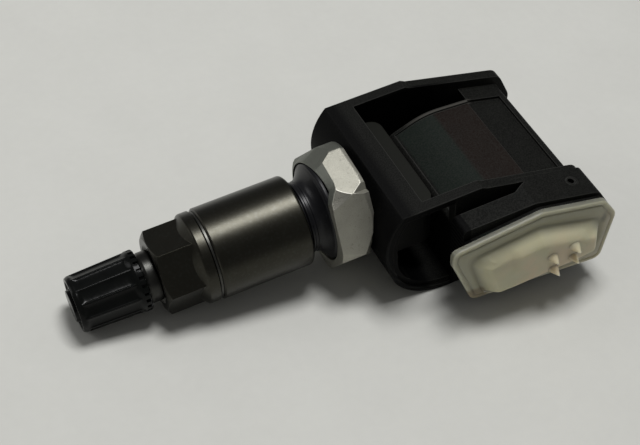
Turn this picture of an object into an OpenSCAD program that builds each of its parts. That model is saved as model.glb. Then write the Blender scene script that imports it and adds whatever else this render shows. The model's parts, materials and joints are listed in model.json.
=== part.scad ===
// Tyre pressure sensor with a clamped metal valve and a swivelling sensor housing.
// The X axis is the valve's axis, from the dust cap (-X) to the housing (+X).
// The origin is on that axis, in the plane where the grommet meets the wheel rim.
// Y runs along the housing's width, Z points up out of its open recess.

/* [Valve stem] */
// Radius of the threaded body that the nut and the sleeve run on
stem_r = 4.1; // [3.9:0.05:4.3]
// Radius of the narrower thread under the dust cap
mouth_r = 3.85; // [3.7:0.05:3.9]
// Length of bare stem between the nut and the dust cap
stem_bare = 2; // [1:0.1:6]
// Radius of the shoulder that bears on the hexagonal collar
shoulder_r = 6; // [5.4:0.1:6.6]
// Thickness of that shoulder
shoulder_t = 1.8; // [1.2:0.1:2.2]
// Radius of the shank that passes through the housing wall
shank_r = 3.2; // [2.8:0.1:3.4]
// Radius of the air passage
air_r = 1.25; // [0.8:0.05:1.6]

/* [Valve core] */
// Radius of the threaded bore that takes the valve core
core_bore_r = 2.65; // [2.5:0.05:2.7]
// Radius of the bore round the core's barrel
barrel_bore_r = 2; // [1.9:0.05:2.2]
// Depth of the core's head below the stem's mouth
core_sunk = 1; // [0.6:0.1:1.4]
// Length of the core's threaded head
core_head_len = 4.6; // [4:0.1:5]
// Overall length of the core's body
core_len = 15.2; // [14:0.1:17]
// Radius of the valve pin
pin_r = 0.5; // [0.4:0.05:0.6]
// Travel of the valve pin
pin_travel = 1.2; // [0.8:0.1:1.5]
// Wire radius of the pin's spring
spring_wire_r = 0.13; // [0.1:0.01:0.15]
// Number of turns of the pin's spring
spring_turns = 8; // [5:1:10]

/* [Dust cap] */
// Overall length of the dust cap
cap_len = 11; // [10.4:0.1:13]
// Radius at the cap's closed end
cap_front_r = 4.55; // [4.4:0.05:4.8]
// Radius at the cap's open end
cap_rear_r = 4.95; // [4.8:0.05:5.4]
// Number of flutes round the cap
cap_flutes = 12; // [6:1:14]
// Depth of the flutes
flute_depth = 0.3; // [0.1:0.02:0.4]
// Length of the notched band at the open end
cap_band = 1.3; // [0.8:0.1:2]
// Radius of the small disc on the closed end
cap_disc_r = 2.6; // [1.5:0.1:3.2]

/* [Nut] */
// Width of the hexagon across its flats
nut_af = 12; // [11:0.5:13]
// Length of the hexagonal part
nut_hex_len = 5.2; // [4:0.1:7]
// Length of the round flange behind the hexagon
nut_flange_len = 3.1; // [2:0.1:5]
// Thickness of the thin washer behind the nut
washer_t = 0.35; // [0.2:0.05:0.6]

/* [Spacer sleeve] */
// Radius of the sleeve
sleeve_r = 7.5; // [7:0.1:8]
// Length of the sleeve
sleeve_len = 15.3; // [12:0.1:16.5]
// Radius of the rounded edge at the sleeve's inner end
sleeve_round = 0.55; // [0.3:0.05:2]

/* [Grommet] */
// Radius of the rubber neck that enters the rim's valve hole
neck_r = 5.75; // [5.6:0.05:6.3]
// Length of the rubber neck
neck_len = 1.95; // [0.8:0.05:2.4]
// Radius of the sealing cone's rim
grommet_r = 8.15; // [7.8:0.05:8.3]

/* [Hexagonal collar] */
// Width of the collar across its flats
collar_af = 18.6; // [18:0.1:20]
// Turn of the collar's corners about the valve axis
collar_turn = 36; // [0:1:60]
// Station of the collar's front edge
collar_front = 1.4; // [1:0.1:2]
// Radius at the collar's front edge
collar_front_r = 9.2; // [8.8:0.05:9.3]
// Depth by which the collar's saddle reaches over the round front wall
saddle_deep = 0.8; // [0.6:0.05:1.8]
// Depth of the recess that holds the grommet
collar_recess = 1.8; // [1.4:0.1:2.2]

/* [Housing] */
// Distance from the rim plane to the pivot line
pivot_x = 18.2; // [17.5:0.1:20]
// Outer radius of the round front wall
front_r = 11; // [10.6:0.1:11.2]
// Thickness of the front wall
front_t = 2.2; // [1.8:0.1:2.4]
// Swing of the valve each way from straight
swing = 12; // [4:1:12]
// Height of the front beam's top above the valve axis
roof_z = 7.4; // [7.2:0.1:8]
// Depth of the underside below the valve axis
floor_z = 13.6; // [13.2:0.1:15]
// Length of the side walls behind the chamber
cheek_len = 2.5; // [1:0.1:4]
// Thickness of the two side rails
rail_t = 1.85; // [1.4:0.05:2.4]
// Width of the front beam along X
beam_w = 4.2; // [3:0.1:5]
// Thickness of the walls round the electronics
wall_t = 1.2; // [0.8:0.1:1.6]
// Height of the electronics chamber's crown above the valve axis
crown_z = 2.8; // [2:0.1:3.4]
// Depth of the rear plate below the rails
plate_deep = 1.8; // [1:0.1:3]
// Width of the open gap between the chamber and the far wall
far_gap = 2.8; // [1:0.1:3]
// Depth of the near block that carries the end cover
block_d = 5.7; // [5:0.1:7]
// Width of the trench between the near rail and that block
trench_w = 1.5; // [1:0.1:2]
// Radius of the pressure port
port_r = 0.55; // [0.3:0.05:0.8]
// Depth of the shallow pocket across the rear plate
plate_sunk = 0.5; // [0.2:0.05:0.8]
// Width of the rim behind that pocket
plate_rim = 1.6; // [0.8:0.1:3]
// Depth of the label's seat on the crown
label_sunk = 0.3; // [0.1:0.05:0.5]
// Width of the raised edge along the far side of the label's seat
crown_lip = 0.6; // [0.3:0.05:1]
// Depth of the step round the open end of the front wall
mouth_step = 0.45; // [0.2:0.05:0.8]
// Width of that step
mouth_step_w = 0.9; // [0.5:0.05:1.4]

/* [Saddle bar] */
// Length of the saddle bar that the stem screws into
bar_len = 20; // [16:0.1:20.4]
// Height of the saddle bar
bar_h = 9; // [8:0.1:9.4]
// Distance of the bar's flat back from the pivot line
bar_back = 0.5; // [0.4:0.1:1.5]

/* [End cover] */
// Thickness of the cover's flange
cover_t = 1; // [0.8:0.1:1.4]
// Height of the raised box above the flange
box_h = 2.4; // [1.5:0.1:3.5]
// Wall thickness of the raised box
box_wall = 0.9; // [0.6:0.1:1.2]
// Draft of the raised box's sides, from foot to top
box_draft = 0.9; // [0.3:0.05:1.4]
// Width of the plain band round the cover's edge
cover_band = 0.95; // [0.7:0.05:1.4]
// Width of the groove inside that band
groove_w = 0.4; // [0.2:0.05:0.6]
// Depth of that groove
groove_deep = 0.35; // [0.1:0.05:0.5]
// Length of the small pegs on the box
peg_len = 1.6; // [1:0.1:2.4]
// Radius of the small pegs at their foot
peg_r = 0.75; // [0.5:0.05:0.9]
// Distance between the two rows of pegs
peg_row = 2.7; // [2:0.1:3.4]
// Distance between the two columns of pegs
peg_pitch = 3.6; // [2.6:0.1:4.5]

/* [Electronics] */
// Diameter of the lithium cell
cell_d = 20; // [18:0.1:20]
// Thickness of the lithium cell
cell_t = 5; // [3.2:0.1:5]
// Thickness of the circuit board
board_t = 1; // [0.8:0.1:1.2]
// Gap between the cell and the board
cell_board_gap = 2.7; // [1.5:0.1:3]
// Play of the cell in its chamber
cell_play = 0.2; // [0.1:0.05:0.5]
// Width of the cell's straps
strap_w = 3; // [2:0.1:4]
// Width of the square controller chip
chip_w = 6; // [4:0.5:7]
// Length of the low frequency coil's bobbin
coil_len = 8; // [6:0.1:9]

/* [Fits] */
// Radial clearance of the running threads
thread_gap = 0.05; // [0.03:0.01:0.09]
// Clearance of the sliding and clamped faces
face_gap = 0.05; // [0.03:0.01:0.1]

/* [Hidden] */
eps = 0.01;
big = 100;
round_fn = 96;

// Stations along the valve, from the rim outwards
sleeve_x1 = -neck_len - face_gap;
sleeve_x0 = sleeve_x1 - sleeve_len;
washer_x1 = sleeve_x0 - face_gap;
washer_x0 = washer_x1 - washer_t;
nut_x1 = washer_x0 - face_gap;
nut_flange_x = nut_x1 - nut_flange_len;
nut_x0 = nut_flange_x - nut_hex_len;
flange_r = sleeve_r - 0.1;
cap_x1 = nut_x0 - stem_bare;
cap_x0 = cap_x1 - cap_len;
cap_top_t = 0.95;
cap_seal_t = 0.8;
mouth_x = cap_x0 + cap_top_t + cap_seal_t + 2 * face_gap;
body_x = cap_x1 + 0.5;

// Stations of the collar
collar_rear = pivot_x - front_r + saddle_deep;
recess_x = collar_front + collar_recess;
shoulder_x1 = recess_x + shoulder_t;

// Stations of the valve core
core_x0 = mouth_x + core_sunk;
core_head_x = core_x0 + core_head_len;
seal_len = 1.6;
seal_x1 = core_head_x + seal_len;
core_x1 = core_x0 + core_len;
barrel_r = barrel_bore_r - 0.3;
core_inner_r = pin_r + 0.85;
pin_hole_r = pin_r + 0.2;
pin_collar_x1 = seal_x1 + 0.6;
spring_seat_x = core_x1 - 1.2;
pin_tip_x = mouth_x + 0.25;
cup_t = 0.9;

// Dust cap
cap_bore_r = mouth_r + thread_gap;
cap_seal_r = cap_bore_r - 0.15;

// Collar
collar_corner_r = collar_af / sqrt(3);
collar_rear_r = collar_corner_r - 0.7;
collar_edge_x0 = collar_front + 3.7;
collar_edge_x1 = collar_rear - 1.3;
grommet_bore_r = grommet_r + face_gap;

// Housing, in the side view's own plane: X along the valve, Z up
inner_r = front_r - front_t;
board_gap = 0.1;
tab_t = 0.2;
tab_room = 0.9;
body_w = cell_d + tab_room + board_gap + wall_t + far_gap + rail_t + 0.05;
half_w = body_w / 2;
near_y = -half_w;
far_y = half_w;
block_y = near_y - block_d;
lip_y = block_y + 0.7;
trench_y = near_y - trench_w;
belly_x = pivot_x + 0.6;
belly_r = front_r + 0.1;
belly_z = belly_r - floor_z;
beam_x1 = 14.3 - 18.2 + pivot_x;
beam_x0 = beam_x1 - beam_w;
bend_x = pivot_x + 4.7;
rail_fall = 0.284;
chamber_x0 = pivot_x + 1;
chamber_x1 = chamber_x0 + 2 * wall_t + 2 * cell_play + cell_d;
rear_x = chamber_x1 + cheek_len;
chamber_far_y = far_y - rail_t - far_gap;
ledge_z = roof_z - 2.1;
ledge_end_x = bend_x + (roof_z - ledge_z) / rail_fall;
step_x = pivot_x + 15.8;
plate_z = roof_z - rail_fall * (chamber_x1 - bend_x) - plate_deep;
plate_fall = (crown_z - 0.3 - plate_z) / (chamber_x1 - step_x);
slot_r = shank_r + 0.1;
bar_r = inner_r - face_gap;
port_x = chamber_x1 - 2.8;
port_y = near_y - 1.75;

// The cover's outline, corner by corner, with each corner's radius
cover_x0 = pivot_x - 3;
cover_x1 = rear_x + 0.9;
cover_bend = ledge_end_x + 0.7;
cover_corners = [
    [cover_x0, ledge_z - 2.3, 2.6],
    [cover_bend, roof_z - rail_fall * (cover_bend - bend_x) - 0.55, 2],
    [cover_x1 - 2.6, roof_z - rail_fall * (cover_x1 - 2.6 - bend_x) - 0.55, 1.6],
    [cover_x1, -3, 2.5],
    [cover_x1 - 1.7, -floor_z + 0.2, 1.8],
    [cover_x0 + 3.9, -floor_z + 3.4, 1.8],
    [cover_x0, ledge_z - 5, 1.5]
];

// The outline of the block that carries the cover: a flat ledge in front, then the rails' slope
block_x0 = pivot_x - 0.4;
block_corners = [
    [block_x0, ledge_z, 0.7],
    [ledge_end_x + 0.2, ledge_z, 1.5],
    [cover_x1 - 2.8, roof_z - rail_fall * (cover_x1 - 2.8 - bend_x), 1.6],
    [cover_x1 - 0.1, -3, 2.4],
    [cover_x1 - 1.8, -floor_z + 0.3, 1.7],
    [block_x0 + 2.4, -floor_z + 2.4, 1.8],
    [block_x0, ledge_z - 10, 1.5]
];

// The raised box's outline at its foot on the flange
box_corners = [
    [cover_x0 + 2.3, 1.9, 1.6],
    [cover_bend - 0.5, 3, 2.5],
    [cover_x1 - 3, -1, 2],
    [cover_x1 - 2.9, -9.3, 2.2],
    [cover_x0 + 6.2, -9.9, 2.4]
];

// Middle of the group of pegs on the box
peg_mid = [cover_x1 - 10.9, -5.8];

// Board and cell
inside_x0 = chamber_x0 + wall_t;
inside_x1 = chamber_x1 - wall_t;
inside_z0 = -floor_z + wall_t;
inside_z1 = crown_z - wall_t;
board_y0 = block_y + 0.4;
board_y1 = chamber_far_y - wall_t - board_gap;
cell_x = (inside_x0 + inside_x1) / 2;
cell_y = board_y1 - cell_d / 2 - tab_room;
cell_z0 = inside_z0 + tab_t + 0.1;
cell_z1 = cell_z0 + cell_t;
board_z = cell_z1 + cell_board_gap;
board_top = board_z + board_t;
sensor_x = port_x - 0.8;
sensor_y = port_y;
sensor_h = 1.1;
port_roof = plate_z + (chamber_x1 - port_x - 1.2) * plate_fall - wall_t - 0.35;

// Points on a circular arc from angle a0 to angle a1
function arc_points(c, r, a0, a1, n) =
    [for (i = [0 : n]) let (a = a0 + (a1 - a0) * i / n) [c[0] + r * cos(a), c[1] + r * sin(a)]];

// The same polygon with each corner [x, y, radius] replaced by a tangent arc
function unit(v) = v / norm(v);
function short_way(a) = a > 180 ? a - 360 : a < -180 ? a + 360 : a;
function corner_arc(p, q, s, r, n) =
    let (
        u = unit([p[0] - q[0], p[1] - q[1]]),
        v = unit([s[0] - q[0], s[1] - q[1]]),
        half = acos(u * v) / 2,
        c = [q[0], q[1]] + unit(u + v) * r / sin(half),
        t0 = [q[0], q[1]] + u * r / tan(half) - c,
        t1 = [q[0], q[1]] + v * r / tan(half) - c,
        a0 = atan2(t0[1], t0[0]),
        a1 = a0 + short_way(atan2(t1[1], t1[0]) - a0)
    )
    arc_points(c, r, a0, a1, n);
function rounded(corners, n = 6) =
    let (m = len(corners))
    [for (i = [0 : m - 1])
        each corner_arc(corners[(i + m - 1) % m], corners[i], corners[(i + 1) % m], corners[i][2], n)];

// Revolves an outline of [station, radius] points about the X axis
module turned(points, fn = round_fn) {
    rotate([0, 90, 0])
        rotate_extrude($fn = fn)
            polygon([for (p = points) [p[1], p[0]]]);
}

// A plain cylinder or a bore along the X axis
module rod(x0, x1, r, fn = round_fn) {
    translate([x0, 0, 0])
        rotate([0, 90, 0])
            cylinder(h = x1 - x0, r = r, $fn = fn);
}

// Extrudes a side view (X, Z) along Y from y0 to y1
module slab(y0, y1) {
    translate([0, y1, 0])
        rotate([90, 0, 0])
            linear_extrude(y1 - y0)
                children();
}

// A box given by its two corners
module block(a, b) {
    translate(a)
        cube(b - a);
}

// A hexagonal bar along X, with a corner at the given angle from +Z towards -Y
module hex_bar(x0, x1, af, turn) {
    translate([x0, 0, 0])
        rotate([turn, 0, 0])
            rotate([0, 90, 0])
                cylinder(h = x1 - x0, r = af / sqrt(3), $fn = 6);
}

// A helical wire about the X axis, as a ring of points swept along the coil
module helix(x0, x1, r, wire_r, turns, steps = 14, sides = 6) {
    n = turns * steps;
    pts = [for (i = [0 : n]) let (a = 360 * i / steps)
        for (j = [0 : sides - 1]) let (b = 360 * j / sides, q = r + wire_r * cos(b))
            [x0 + (x1 - x0) * i / n + wire_r * sin(b), q * cos(a), q * sin(a)]];
    walls = [for (i = [0 : n - 1]) for (j = [0 : sides - 1]) let (k = (j + 1) % sides)
        [i * sides + j, i * sides + k, (i + 1) * sides + k, (i + 1) * sides + j]];
    near_end = [for (j = [0 : sides - 1]) sides - 1 - j];
    far_end = [for (j = [0 : sides - 1]) n * sides + j];
    polyhedron(points = pts, faces = concat(walls, [near_end, far_end]), convexity = 10);
}

// Dust cap: a tapered fluted shell with a notched band at its open end
module valve_cap() {
    edge = 0.5;
    band_x = cap_x1 - cap_band;
    flute_r = 2.6;
    color([0.05, 0.05, 0.05])
        difference() {
            union() {
                turned([
                    [cap_x0, 0], [cap_x0, cap_front_r - edge],
                    [cap_x0 + edge * 0.3, cap_front_r - edge * 0.3], [cap_x0 + edge, cap_front_r],
                    [band_x, cap_rear_r], [cap_x1 - 0.2, cap_rear_r],
                    [cap_x1, cap_rear_r - 0.2], [cap_x1, 0]
                ]);
                rod(cap_x0 - 0.45, cap_x0 + 0.1, cap_disc_r, 48);
            }
            // longitudinal flutes, leaning with the taper
            for (i = [0 : cap_flutes - 1])
                rotate([360 * i / cap_flutes, 0, 0])
                    translate([cap_x0 + 1, 0, cap_front_r + flute_r - flute_depth])
                        rotate([0, 90 - atan((cap_rear_r - cap_front_r) / cap_len), 0])
                            cylinder(h = cap_len - 1 - cap_band - 0.3, r = flute_r, $fn = 32);
            // notches round the open end
            for (i = [0 : 2 * cap_flutes - 1])
                rotate([360 * (i + 0.5) / (2 * cap_flutes), 0, 0])
                    block([band_x + 0.5, -0.3, cap_rear_r - 0.45], [cap_x1 + 1, 0.3, cap_rear_r + 1]);
            // thread bore and the seat of the seal
            rod(cap_x0 + cap_top_t, cap_x1 + 1, cap_bore_r);
        }
}

// Rubber seal ring in the bottom of the dust cap
module cap_seal() {
    color([0.1, 0.1, 0.1])
        difference() {
            rod(mouth_x - face_gap - cap_seal_t, mouth_x - face_gap, cap_seal_r, 64);
            rod(mouth_x - 3, mouth_x, core_bore_r - 0.3, 48);
        }
}

// Valve stem: mouth thread, body thread, shoulder and the shank that screws into the bar
module valve_stem() {
    shank_end = pivot_x - bar_back - 0.6;
    color([0.2, 0.19, 0.15])
        turned([
            [mouth_x, core_bore_r], [mouth_x, mouth_r - 0.3], [mouth_x + 0.3, mouth_r],
            [body_x - 0.4, mouth_r], [body_x, stem_r], [recess_x, stem_r], [recess_x, shoulder_r],
            [shoulder_x1, shoulder_r], [shoulder_x1, shank_r], [shank_end - 0.4, shank_r],
            [shank_end, shank_r - 0.4], [shank_end, air_r], [core_x1 + 3, air_r],
            [core_x1 + 2.4, barrel_bore_r], [seal_x1, barrel_bore_r], [core_head_x, core_bore_r]
        ]);
}

// Valve core: threaded head with a driver slot, and the barrel that houses the spring
module core_body() {
    head_r = core_bore_r - thread_gap;
    color([0.75, 0.6, 0.3])
        difference() {
            turned([
                [core_x0, pin_hole_r], [core_x0, head_r - 0.3], [core_x0 + 0.3, head_r],
                [core_head_x - 0.1, head_r], [core_head_x - 0.1, barrel_r], [core_x1, barrel_r], [core_x1, pin_hole_r],
                [spring_seat_x, pin_hole_r], [spring_seat_x, core_inner_r], [core_head_x + 0.6, core_inner_r],
                [core_head_x + 0.6, pin_hole_r]
            ], 64);
            // flats on the head for the core driver
            for (s = [-1, 1])
                translate([core_x0 - 1, s > 0 ? 1.25 : -1.25 - 3, -3])
                    cube([1 + core_head_len * 0.55, 3, 6]);
        }
}

// Seal ring between the core and the cone of the stem's bore
module core_barrel_seal() {
    gap = 0.06;
    color([0.75, 0.15, 0.1])
        turned([
            [core_head_x, barrel_r + eps], [core_head_x, core_bore_r - gap],
            [seal_x1 - 0.1, barrel_bore_r - gap], [seal_x1 - 0.1, barrel_r + eps]
        ], 64);
}

// Valve pin with its button, the collar that the spring lifts and the tail
module core_pin() {
    color([0.8, 0.65, 0.35])
        turned([
            [pin_tip_x, 0], [pin_tip_x, pin_r + 0.05], [pin_tip_x + 0.15, pin_r + 0.2],
            [core_x0 - 0.15 - pin_travel + 1, pin_r + 0.2 - 0.2], [pin_collar_x1 - 0.4, pin_r],
            [pin_collar_x1 - 0.4, core_inner_r - 0.1], [pin_collar_x1, core_inner_r - 0.1],
            [pin_collar_x1, pin_r], [core_x1 + cup_t + 0.35, pin_r], [core_x1 + cup_t + 0.35, 0]
        ], 48);
}

// Rubber cup on the pin's tail that closes the barrel
module core_cup() {
    color([0.1, 0.1, 0.1])
        turned([
            [core_x1 + eps, pin_r + eps], [core_x1 + eps, barrel_r - 0.15],
            [core_x1 + cup_t - 0.25, barrel_r - 0.15], [core_x1 + cup_t, barrel_r - 0.5], [core_x1 + cup_t, pin_r + eps]
        ], 48);
}

// Spring round the pin, from its collar to the barrel's end
module core_spring() {
    color([0.7, 0.7, 0.7])
        helix(pin_collar_x1 + spring_wire_r + 0.02, spring_seat_x - spring_wire_r - 0.02,
            (core_inner_r + pin_r) / 2, spring_wire_r, spring_turns);
}

// Nut: a chamfered hexagon that runs out on a round flange
module flange_nut() {
    corner_r = nut_af / sqrt(3);
    face_r = nut_af / 2 - 0.1;
    hole_r = stem_r + thread_gap;
    cone = flange_r - face_r;
    color([0.3, 0.28, 0.22])
        difference() {
            union() {
                intersection() {
                    hex_bar(nut_x0 - 1, nut_flange_x + cone + 0.3, nut_af, 20);
                    turned([
                        [nut_x0, 0], [nut_x0, face_r], [nut_x0 + 0.8, corner_r + 0.4],
                        [nut_flange_x + cone + 1, corner_r + 0.4], [nut_flange_x + cone + 1, 0]
                    ]);
                }
                turned([
                    [nut_flange_x - 0.2, 0], [nut_flange_x - 0.2, face_r - 0.2],
                    [nut_flange_x + cone - 0.2, flange_r - 0.1], [nut_flange_x + cone + 0.1, flange_r],
                    [nut_x1 - 0.2, flange_r], [nut_x1, flange_r - 0.2], [nut_x1, 0]
                ]);
            }
            rod(nut_x0 - 1, nut_x1 + 1, hole_r);
            // countersink at the outer end
            turned([
                [nut_x0 - 0.5, 0], [nut_x0 - 0.5, hole_r + 1.2], [nut_x0 + 1.2, hole_r - 0.5],
                [nut_x0 + 1.2, 0]
            ]);
        }
}

// Thin bright washer between the nut and the sleeve
module nut_washer() {
    color([0.8, 0.8, 0.78])
        difference() {
            rod(washer_x0, washer_x1, flange_r - 0.25);
            rod(washer_x0 - 1, washer_x1 + 1, stem_r + 0.15);
        }
}

// Spacer sleeve with a well rounded inner edge
module spacer_sleeve() {
    inner = stem_r + 0.1;
    edge_c = [sleeve_x1 - sleeve_round, sleeve_r - sleeve_round];
    color([0.3, 0.28, 0.22])
        turned(concat(
            [[sleeve_x0, inner], [sleeve_x0, sleeve_r - 0.25], [sleeve_x0 + 0.25, sleeve_r]],
            [for (p = arc_points(edge_c, sleeve_round, 90, 0, 8)) p],
            [[sleeve_x1, inner]]
        ));
}

// Rubber grommet: neck for the valve hole, sealing cone, and a body held in the collar
module grommet() {
    inner = stem_r + 0.02;
    step_r = neck_r + 1.05;
    lip_x = collar_front + 0.45;
    lip_c = [lip_x, grommet_r - 0.45];
    color([0.06, 0.06, 0.06])
        turned(concat(
            [[-neck_len, inner], [-neck_len, neck_r - 0.2], [-neck_len + 0.2, neck_r], [-0.05, neck_r],
             [0, neck_r + 0.1], [0, step_r - 0.2], [0.1, step_r]],
            [[0.75, grommet_r - 0.65], [1.25, grommet_r - 0.2]],
            arc_points(lip_c, 0.45, 80, -40, 5),
            [[lip_x + 0.25, grommet_r - 0.95], [lip_x + 0.5, grommet_r - 0.8], [lip_x + 0.7, grommet_r],
             [recess_x - eps, grommet_r], [recess_x - eps, inner]]
        ));
}

// Collar: a hexagon cut by a front and a rear cone, hollowed for the grommet and the shoulder
module hex_collar() {
    tip = 0.35;
    // the two cones meet a little outside the corners, so that each corner keeps a straight edge
    over = 0.3;
    front_slope = (collar_corner_r - collar_front_r) / (collar_edge_x0 - collar_front - 0.15);
    rear_slope = (collar_corner_r - collar_rear_r - 0.1) / (collar_rear - 0.2 - collar_edge_x1);
    color([0.62, 0.62, 0.58])
        difference() {
            intersection() {
                hex_bar(collar_front, collar_rear, collar_af, collar_turn);
                turned([
                    [collar_front, 0], [collar_front, collar_front_r - tip],
                    [collar_front + 0.15, collar_front_r],
                    [collar_edge_x0 + over / front_slope, collar_corner_r + over],
                    [collar_edge_x1 - over / rear_slope, collar_corner_r + over],
                    [collar_rear - 0.2, collar_rear_r + 0.1],
                    [collar_rear, collar_rear_r - 0.1], [collar_rear, 0]
                ]);
            }
            // recess for the grommet, opened by a small cone
            rod(collar_front - 1, recess_x, grommet_bore_r);
            // seat of the stem's shoulder and the shank's bore
            rod(recess_x - eps, shoulder_x1, shoulder_r + face_gap);
            rod(recess_x, collar_rear + 1, shank_r + face_gap);
            // hollow saddle that bears on the housing's round front
            slab(-half_w, half_w) {
                translate([pivot_x, 0])
                    circle(r = front_r + face_gap, $fn = 180);
                for (a = [0, swing / 2, swing])
                    translate([pivot_x, 0])
                        rotate(-a)
                            translate([belly_x - pivot_x, belly_z])
                                circle(r = belly_r + face_gap, $fn = 180);
            }
        }
}

// Saddle bar: round front that fits inside the front wall, flat back, rounded ends
module saddle_bar() {
    end_r = 2;
    half = bar_len / 2;
    back_x = pivot_x - bar_back;
    front_x = pivot_x - bar_r;
    color([0.3, 0.28, 0.22])
        difference() {
            intersection() {
                slab(-half, half)
                    intersection() {
                        translate([pivot_x, 0])
                            circle(r = bar_r, $fn = 180);
                        translate([front_x, -bar_h / 2])
                            square([back_x - front_x, bar_h]);
                    }
                translate([0, 0, -bar_h])
                    linear_extrude(2 * bar_h)
                        polygon(rounded([
                            [front_x - 1, -half, 0.2], [back_x, -half, end_r],
                            [back_x, half, end_r], [front_x - 1, half, 0.2]
                        ]));
            }
            rod(front_x - 1, back_x + 1, shank_r + thread_gap);
        }
}

// Side view of the main body: a round front that swells into the belly, and sloping rails
module body_outline() {
    intersection() {
        union() {
            intersection() {
                translate([pivot_x, 0])
                    circle(r = front_r, $fn = 180);
                translate([0, -big / 2])
                    square([bend_x - 2, big]);
            }
            translate([belly_x, belly_z])
                circle(r = belly_r, $fn = 180);
            polygon(rounded([
                [pivot_x - 6, roof_z, 0.5],
                [bend_x, roof_z, 5],
                [rear_x - 2.3, roof_z - rail_fall * (rear_x - 2.3 - bend_x), 2.3],
                [rear_x - 0.1, -3.2, 3],
                [rear_x - 0.9, -floor_z, 2],
                [belly_x - 1, -floor_z, 0.5],
                [belly_x - 1, 0, 0.5]
            ]));
        }
        translate([pivot_x - front_r - 1, -floor_z])
            square([rear_x - pivot_x + front_r + 5, floor_z + roof_z]);
    }
}

// Side view of the electronics chamber: rounded crown in front, plate along the rails behind
function chamber_corners() = [
    [chamber_x0, crown_z - 2.2, 1.5],
    [chamber_x0 + 6.5, crown_z + 0.4, 12],
    [step_x, crown_z - 0.3, 0.5],
    [chamber_x1, plate_z, 1.4],
    [chamber_x1, -floor_z, 1.4],
    [chamber_x0, -floor_z, 1.4]
];
module chamber_outline(inset = 0) {
    polygon(rounded(inset_corners(chamber_corners(), inset)));
}

// Side view of what is taken off the chamber's top between two stations, to an even depth
module top_cut(x0, x1, depth) {
    difference() {
        translate([x0, plate_z - 3])
            square([x1 - x0, big / 4]);
        chamber_outline(depth);
    }
}

// Side view of the cover's flange, shrunk by an inset
module cover_outline(inset = 0) {
    polygon(rounded(inset_corners(cover_corners, inset)));
}

// Side view of the block that carries the cover
module block_outline(inset = 0) {
    polygon(rounded(inset_corners(block_corners, inset)));
}

// Side view of the chamber's mouth behind the cover
module mouth_outline(inset = 0) {
    intersection() {
        block_outline(wall_t + inset);
        cover_outline(1.8 + inset);
    }
}

// Side view of the trough, grown by a margin
module trough_outline(grow = 0) {
    translate([pivot_x, 0])
        circle(r = inner_r + grow, $fn = 180);
    translate([belly_x, belly_z])
        circle(r = belly_r - 1.8 + grow, $fn = 180);
}

// Corners of a polygon moved inwards by a distance, with radii to match
function line_cross(p, u, q, v) =
    let (d = u[0] * v[1] - u[1] * v[0], t = ((q[0] - p[0]) * v[1] - (q[1] - p[1]) * v[0]) / d)
    p + u * t;
function inset_corners(corners, inset) =
    let (m = len(corners), flat = [for (c = corners) [c[0], c[1]]])
    [for (i = [0 : m - 1])
        let (
            p = flat[(i + m - 1) % m], q = flat[i], s = flat[(i + 1) % m],
            u = unit(q - p), v = unit(s - q),
            nu = [u[1], -u[0]] * inset, nv = [v[1], -v[0]] * inset,
            x = line_cross(q + nu, u, q + nv, v)
        )
        [x[0], x[1], max(0.3, corners[i][2] - inset)]];

// The slot that lets the shank swing in the front wall
module swing_slot() {
    reach = (front_r + 1) * sin(swing);
    for (a = [-swing, 0, swing])
        translate([pivot_x, 0, 0])
            rotate([0, a, 0])
                translate([-pivot_x, 0, 0])
                    rod(pivot_x - front_r - 2, pivot_x - inner_r + 1.5, slot_r, 64);
    block([pivot_x - front_r - 2, -slot_r, -reach], [pivot_x - inner_r + 1.5, slot_r, reach]);
}

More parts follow.
